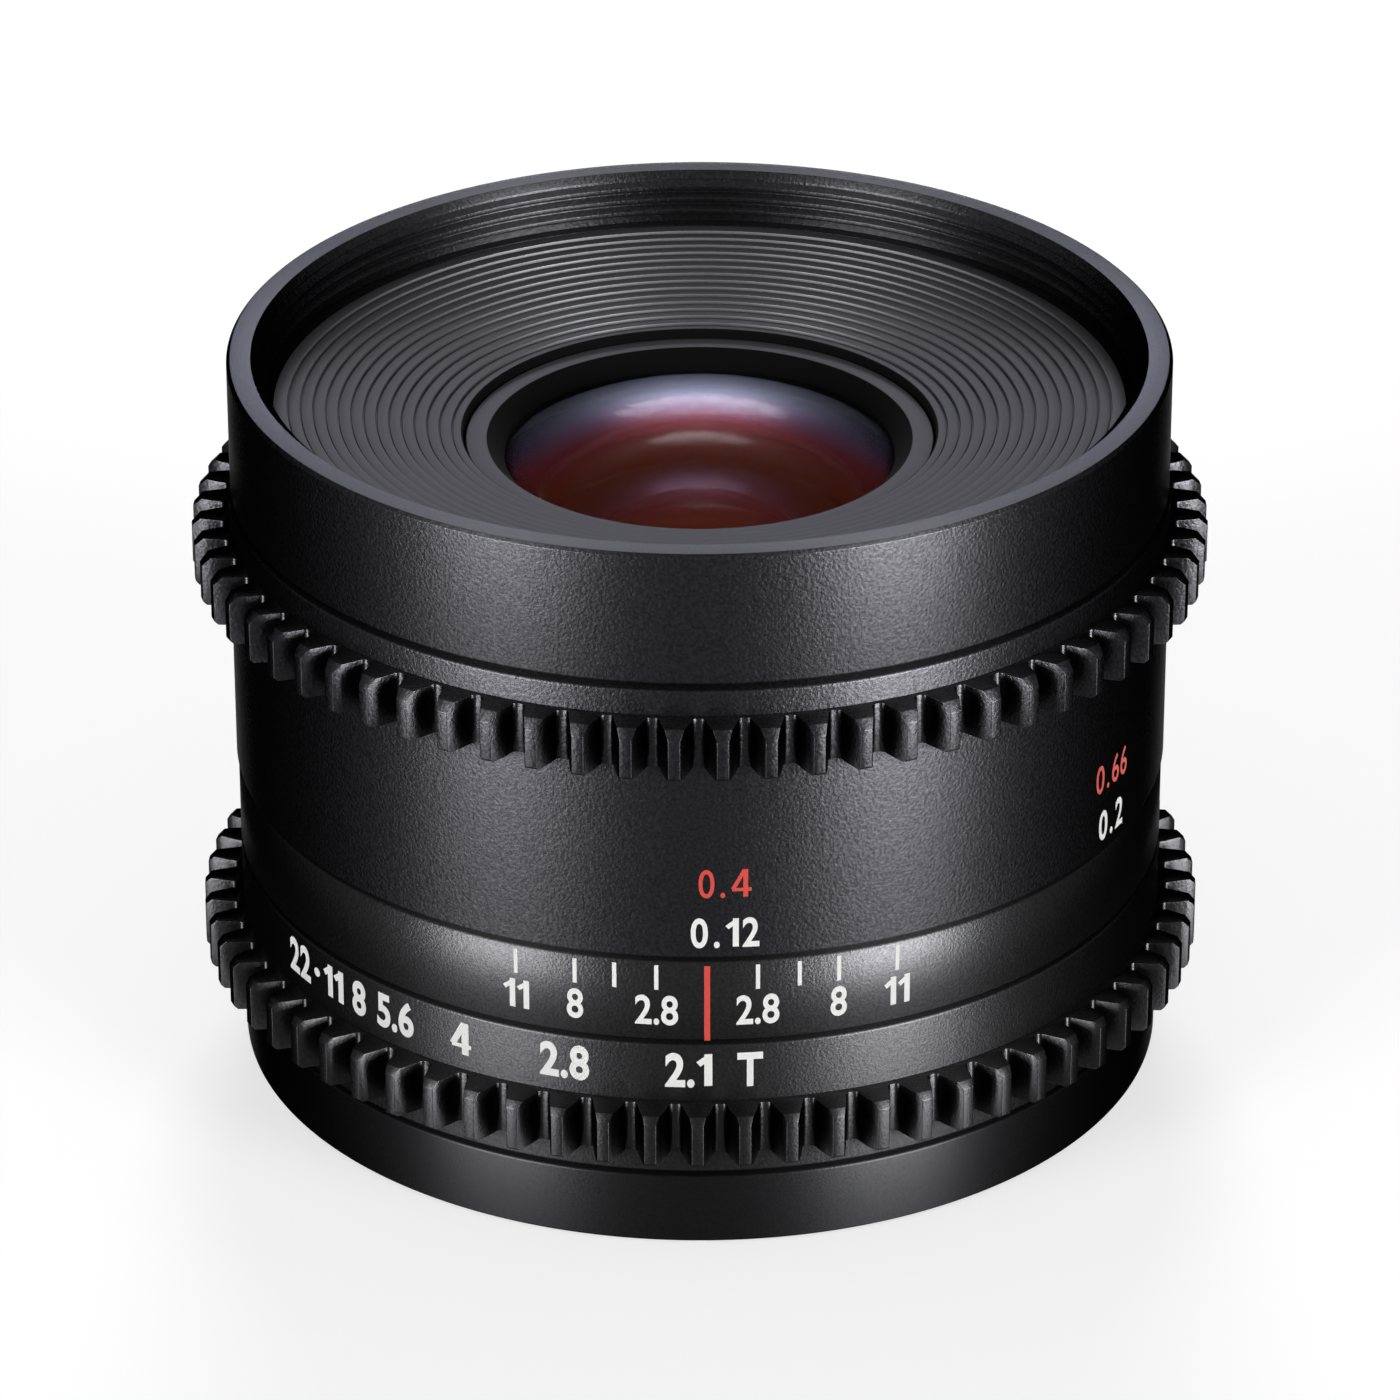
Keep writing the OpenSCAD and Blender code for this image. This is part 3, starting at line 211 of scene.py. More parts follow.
def span(node):
    """Outer radius, lowest and highest level of a turned node, in millimetres."""
    low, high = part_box(node)
    return high.x / mm, low.z / mm, high.z / mm


def spun(outline):
    """A turned solid from its outline in millimetres: (radius, level) or (radius, level, rounding).

    An outline that starts on the axis also ends there; any other is closed.
    """
    made = bmesh.new()
    points = [made.verts.new((corner[0] * mm, 0, corner[1] * mm)) for corner in outline]
    after = points[1:] if outline[0][0] == 0 else points[1:] + points[:1]
    for a, b in zip(points, after):
        made.edges.new((a, b))
    for rounding in sorted({corner[2] for corner in outline if len(corner) > 2}):
        corners = [p for p, corner in zip(points, outline) if corner[2:] == (rounding,)]
        bmesh.ops.bevel(
            made, geom=corners, offset=rounding * mm, offset_type="OFFSET", affect="VERTICES",
            segments=round_steps, profile=0.5, material=-1, clamp_overlap=True,
        )
    bmesh.ops.spin(
        made, geom=made.verts[:] + made.edges[:], cent=(0, 0, 0), axis=(0, 0, 1),
        angle=math.tau, steps=turn_steps, use_merge=True,
    )
    bmesh.ops.remove_doubles(made, verts=made.verts[:], dist=merge_gap)
    bmesh.ops.recalc_face_normals(made, faces=made.faces[:])
    return made


shield_r, shield_low, shield_top = span("rear_light_shield")
shield_hole_r, shield_wall, shield_t = 9.6, 0.8, 1.0
shield_in_r, shield_floor = shield_r - shield_wall, shield_top - shield_t
shield = spun([
    (shield_hole_r, shield_top, 0.1), (shield_hole_r, shield_floor, 0.2),
    (shield_in_r, shield_floor, 0.3), (shield_in_r, shield_low, 0.15),
    (shield_r, shield_low, 0.15), (shield_r, shield_top, 0.1),
])

# Moulded black plastic: a fine even texture from the mould, nearly without gloss.
black_plastic, tree, shader = finish(
    "moulded_black_plastic", base_color=linear("#141415"), roughness=0.62, specular_ior_level=0.35
)
grained(tree, shader, 0.25, 0.015, kind="ShaderNodeTexVoronoi")
place(shield, "light_shield", "barrel", [black_plastic], ["rear_light_shield"])

# Base ring
# The lens stands on this plain ring of black anodised aluminium, turned smooth. It carries the
# mount underneath and is screwed to the main barrel from below.
barrel_r, base_low, base_top = span("base_ring")
mount_r = span("lens_mount")[0]
shim_top = span("mount_shim")[2]
run_fit, seat_fit = 0.05, 0.02
edge_round = 0.14
rear_journal_r = 23.6
floor_hole_r, floor_t = 17.2, 1.4
base = spun([
    (mount_r + run_fit, base_low), (barrel_r, base_low, edge_round),
    (barrel_r, base_top, edge_round), (rear_journal_r + seat_fit, base_top),
    (rear_journal_r + seat_fit, shim_top + floor_t), (floor_hole_r, shim_top + floor_t),
    (floor_hole_r, shim_top), (mount_r + run_fit, shim_top),
])
turned_sheen = 0.8


def anodised(name, grain_mm, depth_mm, roughness, dark, light, grazed="#1a1a1a"):
    """Black anodised aluminium: pits of one size, and a sheen drawn out across the turning marks.

    Real pits are some hundredths of a millimetre wide. They are drawn coarser, so that they show.
    """
    material, tree, shader = finish(
        name, metallic=1.0, roughness=roughness, specular_tint=linear(grazed),
        anisotropic=turned_sheen, anisotropic_rotation=0.25,
    )
    around = add(tree, "ShaderNodeTangent", direction_type="RADIAL", axis="Z")
    tree.links.new(around.outputs[0], shader.inputs["Tangent"])
    pits = grained(tree, shader, grain_mm, depth_mm, Detail=3.0)
    mottled(tree, shader, pits, dark, light)
    return material


# Turned smooth and anodised: a deep, even satin black with clean upright highlights.
smooth_anodised = anodised("satin_black_anodised", 0.12, 0.005, 0.4, "#0f0f10", "#1d1d1e")
place(base, "base_band", "barrel", [smooth_anodised], ["base_ring"])
dress(black_oxide, "base_screws")

# Main barrel and its index band
# One turned aluminium tube carries everything. Only its band between the two rings shows, fine
# blasted and black anodised, with a red index line and white depth of field marks printed on it.

# Fine blasted and anodised: black with a soft grain that just shows in the highlights.
fine_anodised = anodised("fine_blasted_black_anodised", 0.15, 0.016, 0.4, "#111112", "#2b2b2c")
place(
    copied("main_barrel"), "barrel_tube", "barrel", [fine_anodised],
    ["main_barrel"],
)

paint_proud, paint_sink = 0.012, 0.03
font_height, figure_width = 0.7, 0.78


def joined(made, other):
    """Adds another mesh to a piece."""
    scratch = bpy.data.meshes.new("joined")
    other.to_mesh(scratch)
    other.free()
    made.from_mesh(scratch)
    bpy.data.meshes.remove(scratch)
    return made


def stroke(width, height, lean=0.0, at=(0, 0, 0)):
    """A flat straight mark in millimetres, leaning by an angle."""
    flat = bmesh.new()
    turned = Matrix.Translation(at) @ Matrix.Rotation(lean, 4, "Z")
    bmesh.ops.create_cube(flat, size=1, matrix=turned @ Matrix.Diagonal((width, height, 1, 1)))
    return flat


def figure(letter, height, weight):
    """One flat figure on its base line, in millimetres; weight thickens its strokes.

    The 1 and the 4 are drawn from strokes, in parts of the figure's height: width, length, lean
    in degrees, and the place of the middle. The others are the program's own font, narrowed.
    """
    line = 0.13 + 2 * weight / font_height
    strokes = {
        "1": [(line, 1.0, 0, 0, 0.5), (0.8 * line, 0.36, -52, -0.13, 0.79)],
        "4": [
            (line, 1.0, 0, 0.12, 0.5), (0.62, 0.12, 0, 0, 0.27),
            (0.85 * line, 0.8, -28, -0.1, 0.63),
        ],
    }
    if letter in strokes:
        drawn = bmesh.new()
        for wide, tall, lean, x, y in strokes[letter]:
            middle = (x * height, y * height, 0)
            joined(drawn, stroke(wide * height, tall * height, math.radians(lean), middle))
        return drawn
    font = bpy.data.curves.new("figure", "FONT")
    font.body, font.offset, font.extrude = letter, weight, 0.1
    sign = bpy.data.objects.new("figure", font)
    bpy.context.scene.collection.objects.link(sign)
    bpy.context.view_layer.update()
    mesh = bpy.data.meshes.new_from_object(sign)
    flat = bmesh.new()
    flat.from_mesh(mesh)
    bpy.data.objects.remove(sign)
    bpy.data.curves.remove(font)
    bpy.data.meshes.remove(mesh)
    bmesh.ops.remove_doubles(flat, verts=flat.verts[:], dist=1e-5)
    scale = height / font_height
    bmesh.ops.scale(flat, verts=flat.verts[:], vec=(figure_width * scale, scale, scale))
    return flat


def figures(words, height, weight, gap=0.1, point_gap=0.1):
    """A row of flat figures, centred, in millimetres; the point may have wider gaps."""
    row, reach = bmesh.new(), 0.0
    for before, letter in zip(" " + words, words):
        flat = figure(letter, height, weight)
        low = min(v.co.x for v in flat.verts)
        if before != " ":
            reach += point_gap if "." in (before, letter) else gap
        bmesh.ops.translate(flat, verts=flat.verts[:], vec=(reach - low, 0, 0))
        reach = max(v.co.x for v in flat.verts)
        joined(row, flat)
    bmesh.ops.translate(row, verts=row.verts[:], vec=(-reach / 2, -height / 2, 0))
    return row


def printed(marks, name, body, paint, radius):
    """Lays flat marks round a ring as one piece; each is (mark, degrees from the front, level)."""
    whole = bmesh.new()
    for flat, degrees, level in marks:
        for point in flat.verts:
            turn = math.radians(degrees) + point.co.x / radius
            reach = radius + (paint_proud if point.co.z > 0 else -paint_sink)
            across, ahead = reach * math.sin(turn), -reach * math.cos(turn)
            point.co = Vector((across, ahead, level + point.co.y)) * mm
        bmesh.ops.recalc_face_normals(flat, faces=flat.faces[:])
        joined(whole, flat)
    return place(whole, name, body, [paint])


def paint_of(name, colour):
    """Pad-printed two-part ink: opaque, satin, with a faint orange peel."""
    material, tree, shader = finish(
        name, base_color=linear(colour), roughness=0.5, specular_ior_level=0.2
    )
    grained(tree, shader, 0.15, 0.004)
    return material


white_ink = paint_of("white_pad_print_ink", "#f6f6f4")
red_ink = paint_of("red_pad_print_ink", "#dc3c2d")
index_at = 0.8
index_w, index_h, index_level = 0.32, 4.6, 15.5
tick_w, tick_h, tick_level = 0.23, 1.5, 17.05
depth_h, depth_weight, depth_level = 1.74, 0.02, 15.05
depths = [(6.0, "2.8"), (11.0, ""), (15.8, "8"), (23.2, "11")]
depth_marks = []
for side in (-1, 1):
    for degrees, words in depths:
        mark_at = index_at + side * degrees
        depth_marks.append((stroke(tick_w, tick_h), mark_at, tick_level))
        if words:
            depth_marks.append((figures(words, depth_h, depth_weight), mark_at, depth_level))
printed(depth_marks, "depth_of_field_marks", "barrel", white_ink, barrel_r)
index_mark = (stroke(index_w, index_h), index_at, index_level)
printed([index_mark], "index_line", "barrel", red_ink, barrel_r)

# Aperture ring
# A ring of blasted, black anodised aluminium that turns the iris. Its gear takes a lens motor's
# pinion of module 0.8, and the stops are printed in white in front of the teeth.
aperture_low, aperture_top = span("aperture_ring")[1:]
gear_module, gear_teeth = 0.8, 69
pressure_angle = math.radians(20)
pitch_r = gear_module * gear_teeth / 2
tip_r, root_r = pitch_r + gear_module, pitch_r - 1.25 * gear_module
base_r = pitch_r * math.cos(pressure_angle)
flank_steps, gear_sink = 4, 0.1
aperture_bore_r, bore_round = 23.65, 0.1
band_h, aperture_gear_w = 3.45, 3.0
aperture_phase, aperture_chamfer = -0.31, 0.35


def half_tooth(r):
    """Half the angle of an involute tooth at a radius."""
    at_pitch, at_r = [math.tan(a) - a for a in (pressure_angle, math.acos(base_r / r))]
    return math.pi / 2 / gear_teeth + at_pitch - at_r


def gear(inside_r, low, width, phase, front_chamfer, back_chamfer=0.2, fillet=0.21, edge=0.03):
    """A band of teeth: one tooth is drawn, chamfered and rounded, then spun round the ring."""
    half_pitch = math.pi / gear_teeth
    flank = [root_r + (tip_r - root_r) * i / flank_steps for i in range(flank_steps + 1)]
    side = [(inside_r, half_pitch), (root_r, half_pitch)] + [(r, half_tooth(r)) for r in flank]
    drawn = side + [(r, -a) for r, a in reversed(side)]
    tooth = bmesh.new()
    corners = [
        tooth.verts.new((r * math.cos(a) * mm, r * math.sin(a) * mm, low * mm)) for r, a in drawn
    ]
    for a, b in zip(corners, corners[1:] + corners[:1]):
        tooth.edges.new((a, b))
    bmesh.ops.bevel(
        tooth, geom=[corners[2], corners[-3]], offset=fillet * mm, offset_type="OFFSET",
        affect="VERTICES", segments=4, profile=0.5, material=-1,
    )
    bmesh.ops.contextual_create(tooth, geom=tooth.edges[:])
    raised = bmesh.ops.extrude_face_region(tooth, geom=tooth.faces[:])["geom"]
    top = [g for g in raised if isinstance(g, bmesh.types.BMVert)]
    bmesh.ops.translate(tooth, verts=top, vec=(0, 0, width * mm))
    for level, chamfer, way in ((low + width, front_chamfer, 1), (low, back_chamfer, -1)):
        cut = bmesh.ops.bisect_plane(
            tooth, geom=tooth.verts[:] + tooth.edges[:] + tooth.faces[:], clear_outer=True,
            plane_co=((tip_r - chamfer) * mm, 0, level * mm), plane_no=(1, 0, way),
        )
        rim = [g for g in cut["geom_cut"] if isinstance(g, bmesh.types.BMEdge)]
        bmesh.ops.contextual_create(tooth, geom=rim)
    bmesh.ops.recalc_face_normals(tooth, faces=tooth.faces[:])
    middles = [(f, f.calc_center_median()) for f in tooth.faces]
    ends = [f for f, at in middles if abs(abs(math.atan2(at.y, at.x)) - half_pitch) < 1e-5]
    bmesh.ops.delete(tooth, geom=ends, context="FACES")
    sharp = [
        e for e in tooth.edges
        if e.calc_face_angle(0) > smooth_below and e.verts[0].co.xy.length > (inside_r + 0.01) * mm
    ]
    bmesh.ops.bevel(
        tooth, geom=sharp, offset=edge * mm, offset_type="OFFSET", affect="EDGES", segments=2,
        profile=0.5, material=-1, clamp_overlap=True,
    )
    bmesh.ops.rotate(
        tooth, verts=tooth.verts[:], cent=(0, 0, 0),
        matrix=Matrix.Rotation(math.radians(phase - 90), 3, "Z"),
    )
    others = gear_teeth - 1
    bmesh.ops.spin(
        tooth, geom=tooth.verts[:] + tooth.edges[:] + tooth.faces[:], cent=(0, 0, 0),
        axis=(0, 0, 1), angle=math.tau * others / gear_teeth, steps=others, use_duplicate=True,
    )
    bmesh.ops.remove_doubles(tooth, verts=tooth.verts[:], dist=merge_gap)
    bmesh.ops.recalc_face_normals(tooth, faces=tooth.faces[:])
    return tooth


aperture_gear_low = aperture_top - band_h - aperture_gear_w
aperture = spun([
    (aperture_bore_r, aperture_low, bore_round), (barrel_r, aperture_low, edge_round),
    (barrel_r, aperture_top, edge_round), (aperture_bore_r, aperture_top, bore_round),
])
aperture_teeth = gear(
    barrel_r - gear_sink, aperture_gear_low, aperture_gear_w, aperture_phase, aperture_chamfer
)
joined(aperture, aperture_teeth)
place(aperture, "aperture_band", "aperture", [fine_anodised], ["aperture_ring"])
dress(black_oxide, "aperture_drive_pin")

stops = [
    (-58.2, "22"), (-50.8, "11"), (-45.9, "8"), (-39.8, "5.6"), (-30.0, "4"), (-16.4, "2.8"),
    (-1.4, "2.1"), (5.9, "T"),
]
stop_h, stop_weight, stop_level = 1.98, 0.032, 11.35
stop_dot_at, stop_dot_r = -54.2, 0.275
stop_marks = [
    (figures(words, stop_h, stop_weight), degrees, stop_level) for degrees, words in stops
]
dot = bmesh.new()
bmesh.ops.create_cone(
    dot, cap_ends=True, segments=24, depth=1, radius1=stop_dot_r, radius2=stop_dot_r
)
stop_marks.append((dot, stop_dot_at, stop_level))
printed(stop_marks, "stop_numbers", "aperture", white_ink, barrel_r)

# Focus ring
# The largest ring, blasted coarser for grip and black anodised. Its gear is like the aperture's,
# and the distances are printed on it, red in feet above white in metres.
focus_low, focus_top = span("focus_ring")[1:]
ring_r = barrel_r + 0.1
focus_bore_r, lip_bore_r, lip_t = 24.5, 22.7, 1.4
collar_h, focus_gear_w = 1.45, 2.9
focus_phase, focus_chamfer = -2.77, 0.5

# Coarse blasted and anodised: black with a sparkling grain, so that the highlights look rough.
coarse_anodised = anodised(
    "coarse_blasted_black_anodised", 0.18, 0.026, 0.38, "#080809", "#2e2e30"
)
focus = spun([
    (focus_bore_r, focus_low, bore_round), (ring_r, focus_low, edge_round),
    (ring_r, focus_top, edge_round), (lip_bore_r, focus_top), (lip_bore_r, focus_top - lip_t),
    (focus_bore_r, focus_top - lip_t),
])
focus_gear_low = focus_top - collar_h - focus_gear_w
joined(focus, gear(ring_r - gear_sink, focus_gear_low, focus_gear_w, focus_phase, focus_chamfer))
place(focus, "focus_band", "focus", [coarse_anodised], ["focus_ring"])

near_at, far_turn = 2.9, 99.4
distances = [(0, "0.4", "0.12"), (56.7, "0.66", "0.2"), (87.5, "1", "0.3")]
feet_h, feet_weight, feet_level = 1.68, 0.008, 22.9
metre_h, metre_weight, metre_level = 1.73, 0.02, 19.9
endless_h, endless_weight = 1.7, 0.0
scale_gaps = {"gap": 0.2, "point_gap": 0.32}
feet, metres = [], []
for turn, in_feet, in_metres in distances:
    feet_figures = figures(in_feet, feet_h, feet_weight, **scale_gaps)
    metre_figures = figures(in_metres, metre_h, metre_weight, **scale_gaps)
    feet.append((feet_figures, near_at + turn, feet_level))
    metres.append((metre_figures, near_at + turn, metre_level))
for marks, level in ((feet, feet_level), (metres, metre_level)):
    endless = figures("8", endless_h, endless_weight)
    bmesh.ops.rotate(
        endless, verts=endless.verts[:], cent=(0, 0, 0), matrix=Matrix.Rotation(math.pi / 2, 3, "Z")
    )
    marks.append((endless, near_at + far_turn, level))
printed(feet, "distances_in_feet", "focus", red_ink, ring_r)
printed(metres, "distances_in_metres", "focus", white_ink, ring_r)

# Focus drive
# Inside the focus ring, a brass cam sleeve turns with it and moves three brass pins, and with
# them the carriage that holds all the glass. Black plastic washers keep the rings from rubbing.
dress(brass, "focus_cam_sleeve", "follower_pins")
dress(black_oxide, "focus_ring_screws", "carriage_screws", "front_barrel_screws")

# Low-friction plastic: black, with a waxy half gloss and faint turning marks.
slip_plastic, tree, shader = finish(
    "black_acetal", base_color=linear("#19191a"), roughness=0.4, specular_ior_level=0.4
)
tool_marks(tree, shader, 0.3, 0.004)
dress(
    slip_plastic, "focus_front_washer", "focus_rear_washer", "aperture_front_washer",
    "aperture_rear_washer",
)

# Front barrel
# A plain band of coarse blasted, black anodised aluminium, whose flat rim top carries a painted
# sheen.
# Inside the rim is the filter thread, 49 mm across with a pitch of 0.75 mm.
front_low, rim_z = span("front_barrel")[1:]
baffle_r, _, baffle_top = span("front_baffle")
filter_r, thread_pitch, thread_turns, thread_lead = 24.5, 0.75, 3, 0.4
thread_slope = math.radians(30)
thread_depth = 5 / 8 * thread_pitch * math.cos(thread_slope)
thread_flank = thread_depth * math.tan(thread_slope)
fine_round = 0.03
rim_inner_r, rim_chamfer, rim_round, rim_skin = 24.85, 0.2, 0.05, 0.02
baffle_seat_r, baffle_t = 23.744, 1.0
shoulder_r, journal_r, flange_in_r = 22.894, 22.6, 19.4
socket_h, front_flange_t = 1.8, 0.9
crest_r = filter_r - thread_depth
groove = []
for turn in range(thread_turns):
    groove_top = rim_z - thread_lead - turn * thread_pitch
    groove_foot = groove_top - thread_pitch / 8
    groove += [
        (filter_r, groove_top, fine_round), (filter_r, groove_foot, fine_round),
        (crest_r, groove_foot - thread_flank, fine_round),
        (crest_r, groove_foot - thread_pitch / 4 - thread_flank, fine_round),
    ]
relief_z = rim_z - thread_lead - thread_turns * thread_pitch
socket_z = front_low + socket_h
front = spun(
    [
        (journal_r + seat_fit, front_low), (barrel_r, front_low, edge_round),
        (barrel_r, rim_z - rim_chamfer, fine_round), (barrel_r - rim_chamfer, rim_z, fine_round),
        (rim_inner_r, rim_z, rim_round),
    ]
    + groove
    + [
        (filter_r, relief_z, fine_round), (filter_r, baffle_top), (baffle_seat_r, baffle_top),
        (baffle_seat_r, baffle_top - baffle_t), (shoulder_r, baffle_top - baffle_t),
        (shoulder_r, socket_z + front_flange_t), (flange_in_r, socket_z + front_flange_t),
        (flange_in_r, socket_z), (journal_r + seat_fit, socket_z),
    ]
)
# The rim's flat top takes the painted-sheen copy of the anodising; the rest keeps the coarse grain.
for face in front.faces:
    face.material_index = int(all(v.co.z > (rim_z - rim_skin) * mm for v in face.verts))

# Painted sheen: a lighter copy of the black anodising for the rim's flat top.
rim_painted_sheen = anodised(
    "black_anodised_rim_painted_sheen", 0.16, 0.003, 0.36, "#444446", "#58585b", grazed="#747474"
)
place(
    front, "front_band", "barrel", [coarse_anodised, rim_painted_sheen],
    ["front_barrel"],
)

# Front baffle
# A shallow funnel of fine steps, turned from aluminium and blackened, that keeps stray light out
# of the glass. It drops into the front barrel behind the thread.
cell_r = span("front_retaining_ring")[0]
step_w, step_h, first_step_r = 0.7, 0.133, 22.924
groove_w, groove_d, flat_from = 0.08, 0.07, 0.9
mouth_round, mouth_skin = 0.15, 0.16
baffle_hole_r, tube_wall, baffle_tube_h = cell_r + 0.14, 0.8, 1.9
step_count = math.floor((first_step_r - baffle_hole_r) / step_w) + 1
inner_z = baffle_top - step_count * step_h
steps = []
for i in range(step_count):
    r = first_step_r - i * step_w
    foot = baffle_top - (i + 1) * step_h
    steps += [
        (r, baffle_top - i * step_h, fine_round), (r, foot - groove_d),
        (r - groove_w, foot - groove_d), (r - groove_w, foot, fine_round),
    ]
baffle = spun(
    [(baffle_r, baffle_top, rim_round)]
    + steps
    + [
        (baffle_hole_r, inner_z, mouth_round), (baffle_hole_r, inner_z - baffle_tube_h),
        (baffle_hole_r + tube_wall, inner_z - baffle_tube_h),
        (baffle_hole_r + tube_wall, inner_z - baffle_t), (shoulder_r, baffle_top - baffle_t),
        (baffle_r, baffle_top - baffle_t),
    ]
)

# Turned and matt black anodised: tool marks run round the axis and give a grey sheen from the side.
turned_black, tree, shader = finish(
    "turned_matt_black_anodised", base_color=linear("#434345"), metallic=1.0, roughness=0.48,
    specular_tint=linear("#929292"),
)
tool_marks(tree, shader, 0.16, 0.012)

# Blackened inner surfaces: a dead matt paint with a fine tooth, so that almost no light returns.
dull_black, tree, shader = finish(
    "dead_matt_black_paint", base_color=linear("#070707"), roughness=0.8, specular_ior_level=0.02
)
grained(tree, shader, 0.1, 0.01, Detail=3.0)
for face in baffle.faces:
    inside = face.calc_center_median().xy.length < (baffle_hole_r + mouth_skin) * mm
    face.material_index = int(inside and abs(face.normal.z) < flat_from)
place(
    baffle, "stepped_baffle", "barrel", [turned_black, dull_black],
    ["front_baffle"],
)

# Front cell and its retaining ring
# A stepped aluminium tube holds the front glasses, and a screwed ring with a bevelled mouth
# clamps them. Its flat face is turned, and everything else round the glass is dull black.
cap_low, cap_top = span("front_retaining_ring")[1:]
cap_face_w, cap_h, cap_mouth_r, cap_thread_r = 1.2, 1.0, 10.9, 12.23
cap_round = 0.06
cap = spun([
    (cap_mouth_r, cap_low), (cap_thread_r, cap_low), (cap_thread_r, cap_top - cap_h),
    (cell_r, cap_top - cap_h), (cell_r, cap_top, bore_round),
    (cell_r - cap_face_w, cap_top, cap_round), (cap_mouth_r, cap_top - cap_h, cap_round),
])
for face in cap.faces:
    face.material_index = int(abs(face.normal.z) < flat_from)
place(
    cap, "retaining_ring", "carriage", [turned_black, dull_black],
    ["front_retaining_ring"],
)
dress(
    dull_black, "optics_carriage", "front_cell", "lens_spacer_1", "front_lock_ring", "iris_housing",
    "rear_cell", "rear_lock_ring", "lens_spacer_2", "rear_retaining_ring",
)

# Glass
# Eight ground and polished elements with edges painted black. The coatings of the first two tint
# what little light they reflect, and are thin films over their front faces.
arc_steps = 20
coat_t, edge_skin = 0.02, 0.01

# Each element's front curve, the width of the flat land round it, its back curve and back land.
glasses = {
    "lens_1": (21.4, 1.3, -13.0, 3.5), "lens_2": (14.0, 2.3, -8.2, 4.2),
    "lens_3": (15.0, 0.6, 11.0, 0.0), "lens_4": (-11.0, 0.0, -22.0, 1.4),
    "lens_5": (9.0, 0.8, 8.0, 0.0), "lens_6": (-8.0, 0.0, -14.0, 1.2),
    "lens_7": (12.0, 0.6, 18.0, 0.6), "lens_8": (-30.0, 0.6, 14.0, 0.6),
}


def curve(radius, clear_r):
    """Points of a spherical face from the axis to its edge, as (radius, height over the edge)."""
    edge_z = math.sqrt(radius**2 - clear_r**2)
    way = math.copysign(1, radius)
    reach = [clear_r * math.sin(math.pi / 2 * i / arc_steps) for i in range(arc_steps + 1)]
    return [(r, way * (math.sqrt(radius**2 - r**2) - edge_z)) for r in reach]


# Black lacquer on the ground edges: it soaks up what light gets there.
edge_black, tree, shader = finish("black_edge_lacquer", base_color=linear("#060606"), roughness=0.7)
tool_marks(tree, shader, 0.12, 0.004)

# Optical glass under its coating: clear. The coating lets nearly all the light in, so the index is
# far below the glass's own 1.6, with which it would mirror a hundred times as much. A slight
# roughness keeps the lamps' edges soft in it.
coated_glass = finish(
    "coated_optical_glass", base_color=linear("#fbfbfb"), roughness=0.16, transmission_weight=1.0,
    ior=1.04,
)[0]


def coating(name, strength, *tints):
    """A coating's weak mirror colours, from straight on to a grazing look."""
    material, tree, shader = finish(name, metallic=1.0, roughness=0.34, alpha=strength)
    slant = add(tree, "ShaderNodeLayerWeight").outputs["Facing"]
    tint = add(tree, "ShaderNodeValToRGB", {"Fac": slant})
    stops = tint.color_ramp.elements
    while len(stops) < len(tints):
        stops.new(1.0)
    for stop, (level, colour) in zip(stops, tints):
        stop.position, stop.color = level, linear(colour)
    tree.links.new(tint.outputs[0], shader.inputs["Base Color"])
    return material


# Vacuum coatings: amber straight on, then crimson and violet, and a pale lavender when grazed.
outer_coating = coating(
    "crimson_vacuum_coating", 0.034, (0.15, "#8c3c14"), (0.38, "#b4441c"), (0.5, "#c03448"),
    (0.6, "#9868a4"), (0.7, "#b8bce4"),
)
inner_coating = coating(
    "amber_vacuum_coating", 0.018, (0.15, "#ff8a30"), (0.3, "#f05828"), (0.45, "#d03860"),
    (0.6, "#b070b8"), (0.75, "#d0ccf0"),
)
coated = {"lens_1": outer_coating, "lens_2": inner_coating}
for node, (front_curve, front_land, back_curve, back_land) in glasses.items():
    glass_r, glass_low, glass_top = span(node)
    front_face = curve(front_curve, glass_r - front_land)
    back_face = curve(back_curve, glass_r - back_land)
    front_z = glass_top - max(front_face[0][1], 0)
    back_z = glass_low + max(back_face[0][1], 0)
    element = spun(
        [(r, front_z + rise) for r, rise in front_face]
        + [(glass_r, front_z), (glass_r, back_z)]
        + [(r, back_z - rise) for r, rise in reversed(back_face)]
    )
    for face in element.faces:
        outside = all(v.co.xy.length > (glass_r - edge_skin) * mm for v in face.verts)
        face.material_index = int(outside)
    number = node[-1]
    place(
        element, "glass_" + number, "carriage", [coated_glass, edge_black], [node]
    )
    if node in coated:
        film = spun(
            [(r, front_z + rise + 2 * coat_t) for r, rise in front_face]
            + [(r, front_z + rise + coat_t) for r, rise in reversed(front_face)]
        )
        place(film, "coating_" + number, "carriage", [coated[node]])

# Iris
# Five thin blades of blackened spring steel swing in from their pivots when the brass actuator
# behind the front group turns. A steel pin in the aperture ring moves the actuator's fork.
blade_count, roll_stretch = 5, 12

# Blackened spring steel: nearly black, streaked along the way it was rolled.
blade_black, tree, shader = finish("blackened_spring_steel", metallic=1.0, roughness=0.45)
at = add(tree, "ShaderNodeTexCoord").outputs["Object"]
rolled = add(tree, "ShaderNodeMapping", {"Vector": at, "Scale": (1, roll_stretch, 1)})
grain = add(tree, "ShaderNodeTexNoise", {"Vector": rolled.outputs[0], "Scale": 1 / (1.5 * mm)})
mottled(tree, shader, grain.outputs[0], "#232326", "#3c3c40")
dress(blade_black, *["iris_blade_%d" % (i + 1) for i in range(blade_count)])
dress(brass, "iris_actuator")

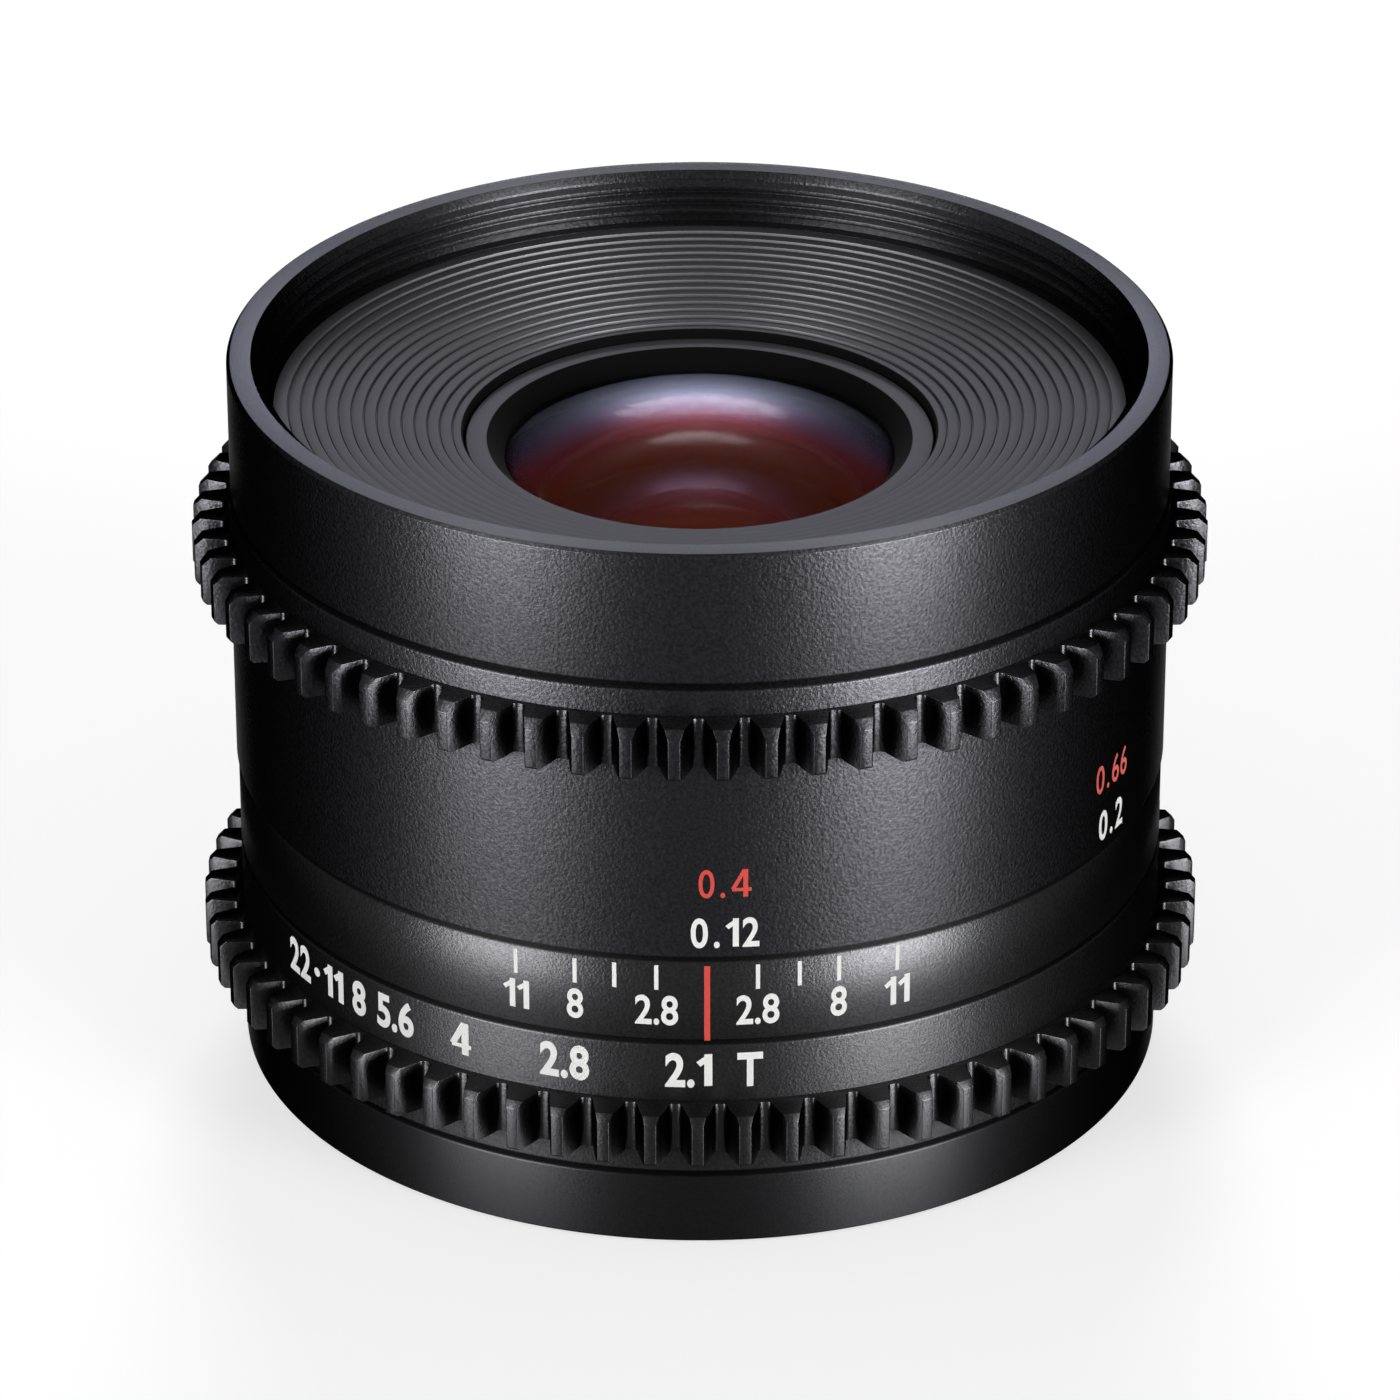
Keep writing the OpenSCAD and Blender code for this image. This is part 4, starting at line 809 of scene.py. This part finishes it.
# Floor, light and camera
# A white table with a round well that the bayonet sinks into, and the camera at the photograph's
# angle. Two tall soft boxes beside the camera and one behind the lens light everything; four more
# show in gloss only, and draw the upright highlights on the black metal.
floor_top, well_r, well_low, well_round, floor_r = 0.36, 24.75, -5.2, 0.1, 1500.0
table = spun([
    (0, well_low), (well_r, well_low), (well_r, floor_top, well_round), (floor_r, floor_top)
])
mesh = bpy.data.meshes.new("table")
table.to_mesh(mesh)
table.free()
floor = bpy.data.objects.new("table", mesh)
bpy.context.scene.collection.objects.link(floor)
table_glow, sky_light = 0.62, 0.25


def seen_rays(tree):
    """1 for rays by which the camera, a gloss or a glass sees a surface, and 0 for plain light."""
    rays = add(tree, "ShaderNodeLightPath").outputs
    seen = rays["Is Camera Ray"]
    for way in ("Is Glossy Ray", "Is Transmission Ray"):
        seen = add(tree, "ShaderNodeMath", {0: seen, 1: rays[way]}, operation="MAXIMUM").outputs[0]
    return seen


# A white table top: matt, and lifted to the backdrop's white where it is looked at, so that only
# the shadow of the lens shows on it.
white_table, tree, shader = finish(
    "white_table", base_color=linear("#bcbcbc"), roughness=0.9, specular_ior_level=0.0,
    emission_color=(1, 1, 1, 1),
)
glow = add(tree, "ShaderNodeMath", {0: seen_rays(tree), 1: table_glow}, operation="MULTIPLY")
tree.links.new(glow.outputs[0], shader.inputs["Emission Strength"])
mesh.materials.append(white_table)

world = bpy.data.worlds.new("studio")
bpy.context.scene.world = world
world.use_nodes = True
tree = world.node_tree
level = add(
    tree, "ShaderNodeMath", {0: seen_rays(tree), 1: 1 - sky_light, 2: sky_light},
    operation="MULTIPLY_ADD",
)
backdrop = tree.nodes["Background"]
backdrop.inputs["Color"].default_value = (1, 1, 1, 1)
tree.links.new(level.outputs[0], backdrop.inputs["Strength"])

aim = Vector((0, 0, 0.02))
strip, sheet, low_sheet, oval = (0.3, 0.6), (0.38, 0.4), (0.38, 0.16), (0.34, 0.22)


def soft_box(name, azimuth, elevation, distance, size, watts, shape="RECTANGLE", gloss_only=False):
    """An area lamp aimed at the lens; its azimuth is counted from the camera towards +X."""
    lamp = bpy.data.lights.new(name, "AREA")
    lamp.shape, lamp.energy = shape, watts
    lamp.size, lamp.size_y = size
    across, up = math.radians(azimuth), math.radians(elevation)
    way = Vector((math.cos(up) * math.sin(across), -math.cos(up) * math.cos(across), math.sin(up)))
    stand = bpy.data.objects.new(name, lamp)
    stand.location = aim + distance * way
    stand.rotation_euler = way.to_track_quat("Z", "Y").to_euler()
    stand.visible_diffuse = stand.visible_transmission = not gloss_only
    bpy.context.scene.collection.objects.link(stand)


soft_box("left_strip", -46, 20, 0.8, strip, 3.0)
soft_box("right_strip", 46, 20, 0.8, strip, 3.0)
soft_box("left_sheen", -46, 8, 0.8, sheet, 38.0, gloss_only=True)
soft_box("right_sheen", 45, 8, 0.8, sheet, 56.0, gloss_only=True)
soft_box("left_back_sheen", -140, 3, 0.8, low_sheet, 24.0, gloss_only=True)
soft_box("right_back_sheen", 140, 3, 0.8, low_sheet, 24.0, gloss_only=True)
soft_box("back_box", 180, 22, 0.9, oval, 5.0, shape="ELLIPSE")

camera_back, camera_up = 0.3762, 0.2144
tilt, roll = math.radians(62.72), -0.0013
camera = bpy.data.cameras.new("camera")
camera.sensor_width, camera.lens = 36, 191.84
viewpoint = bpy.data.objects.new("camera", camera)
viewpoint.location = (0, -camera_back, camera_up)
turned = Matrix.Rotation(tilt, 3, "X") @ Matrix.Rotation(roll, 3, "Z")
viewpoint.rotation_euler = turned.to_euler()
bpy.context.scene.collection.objects.link(viewpoint)
bpy.context.scene.camera = viewpoint
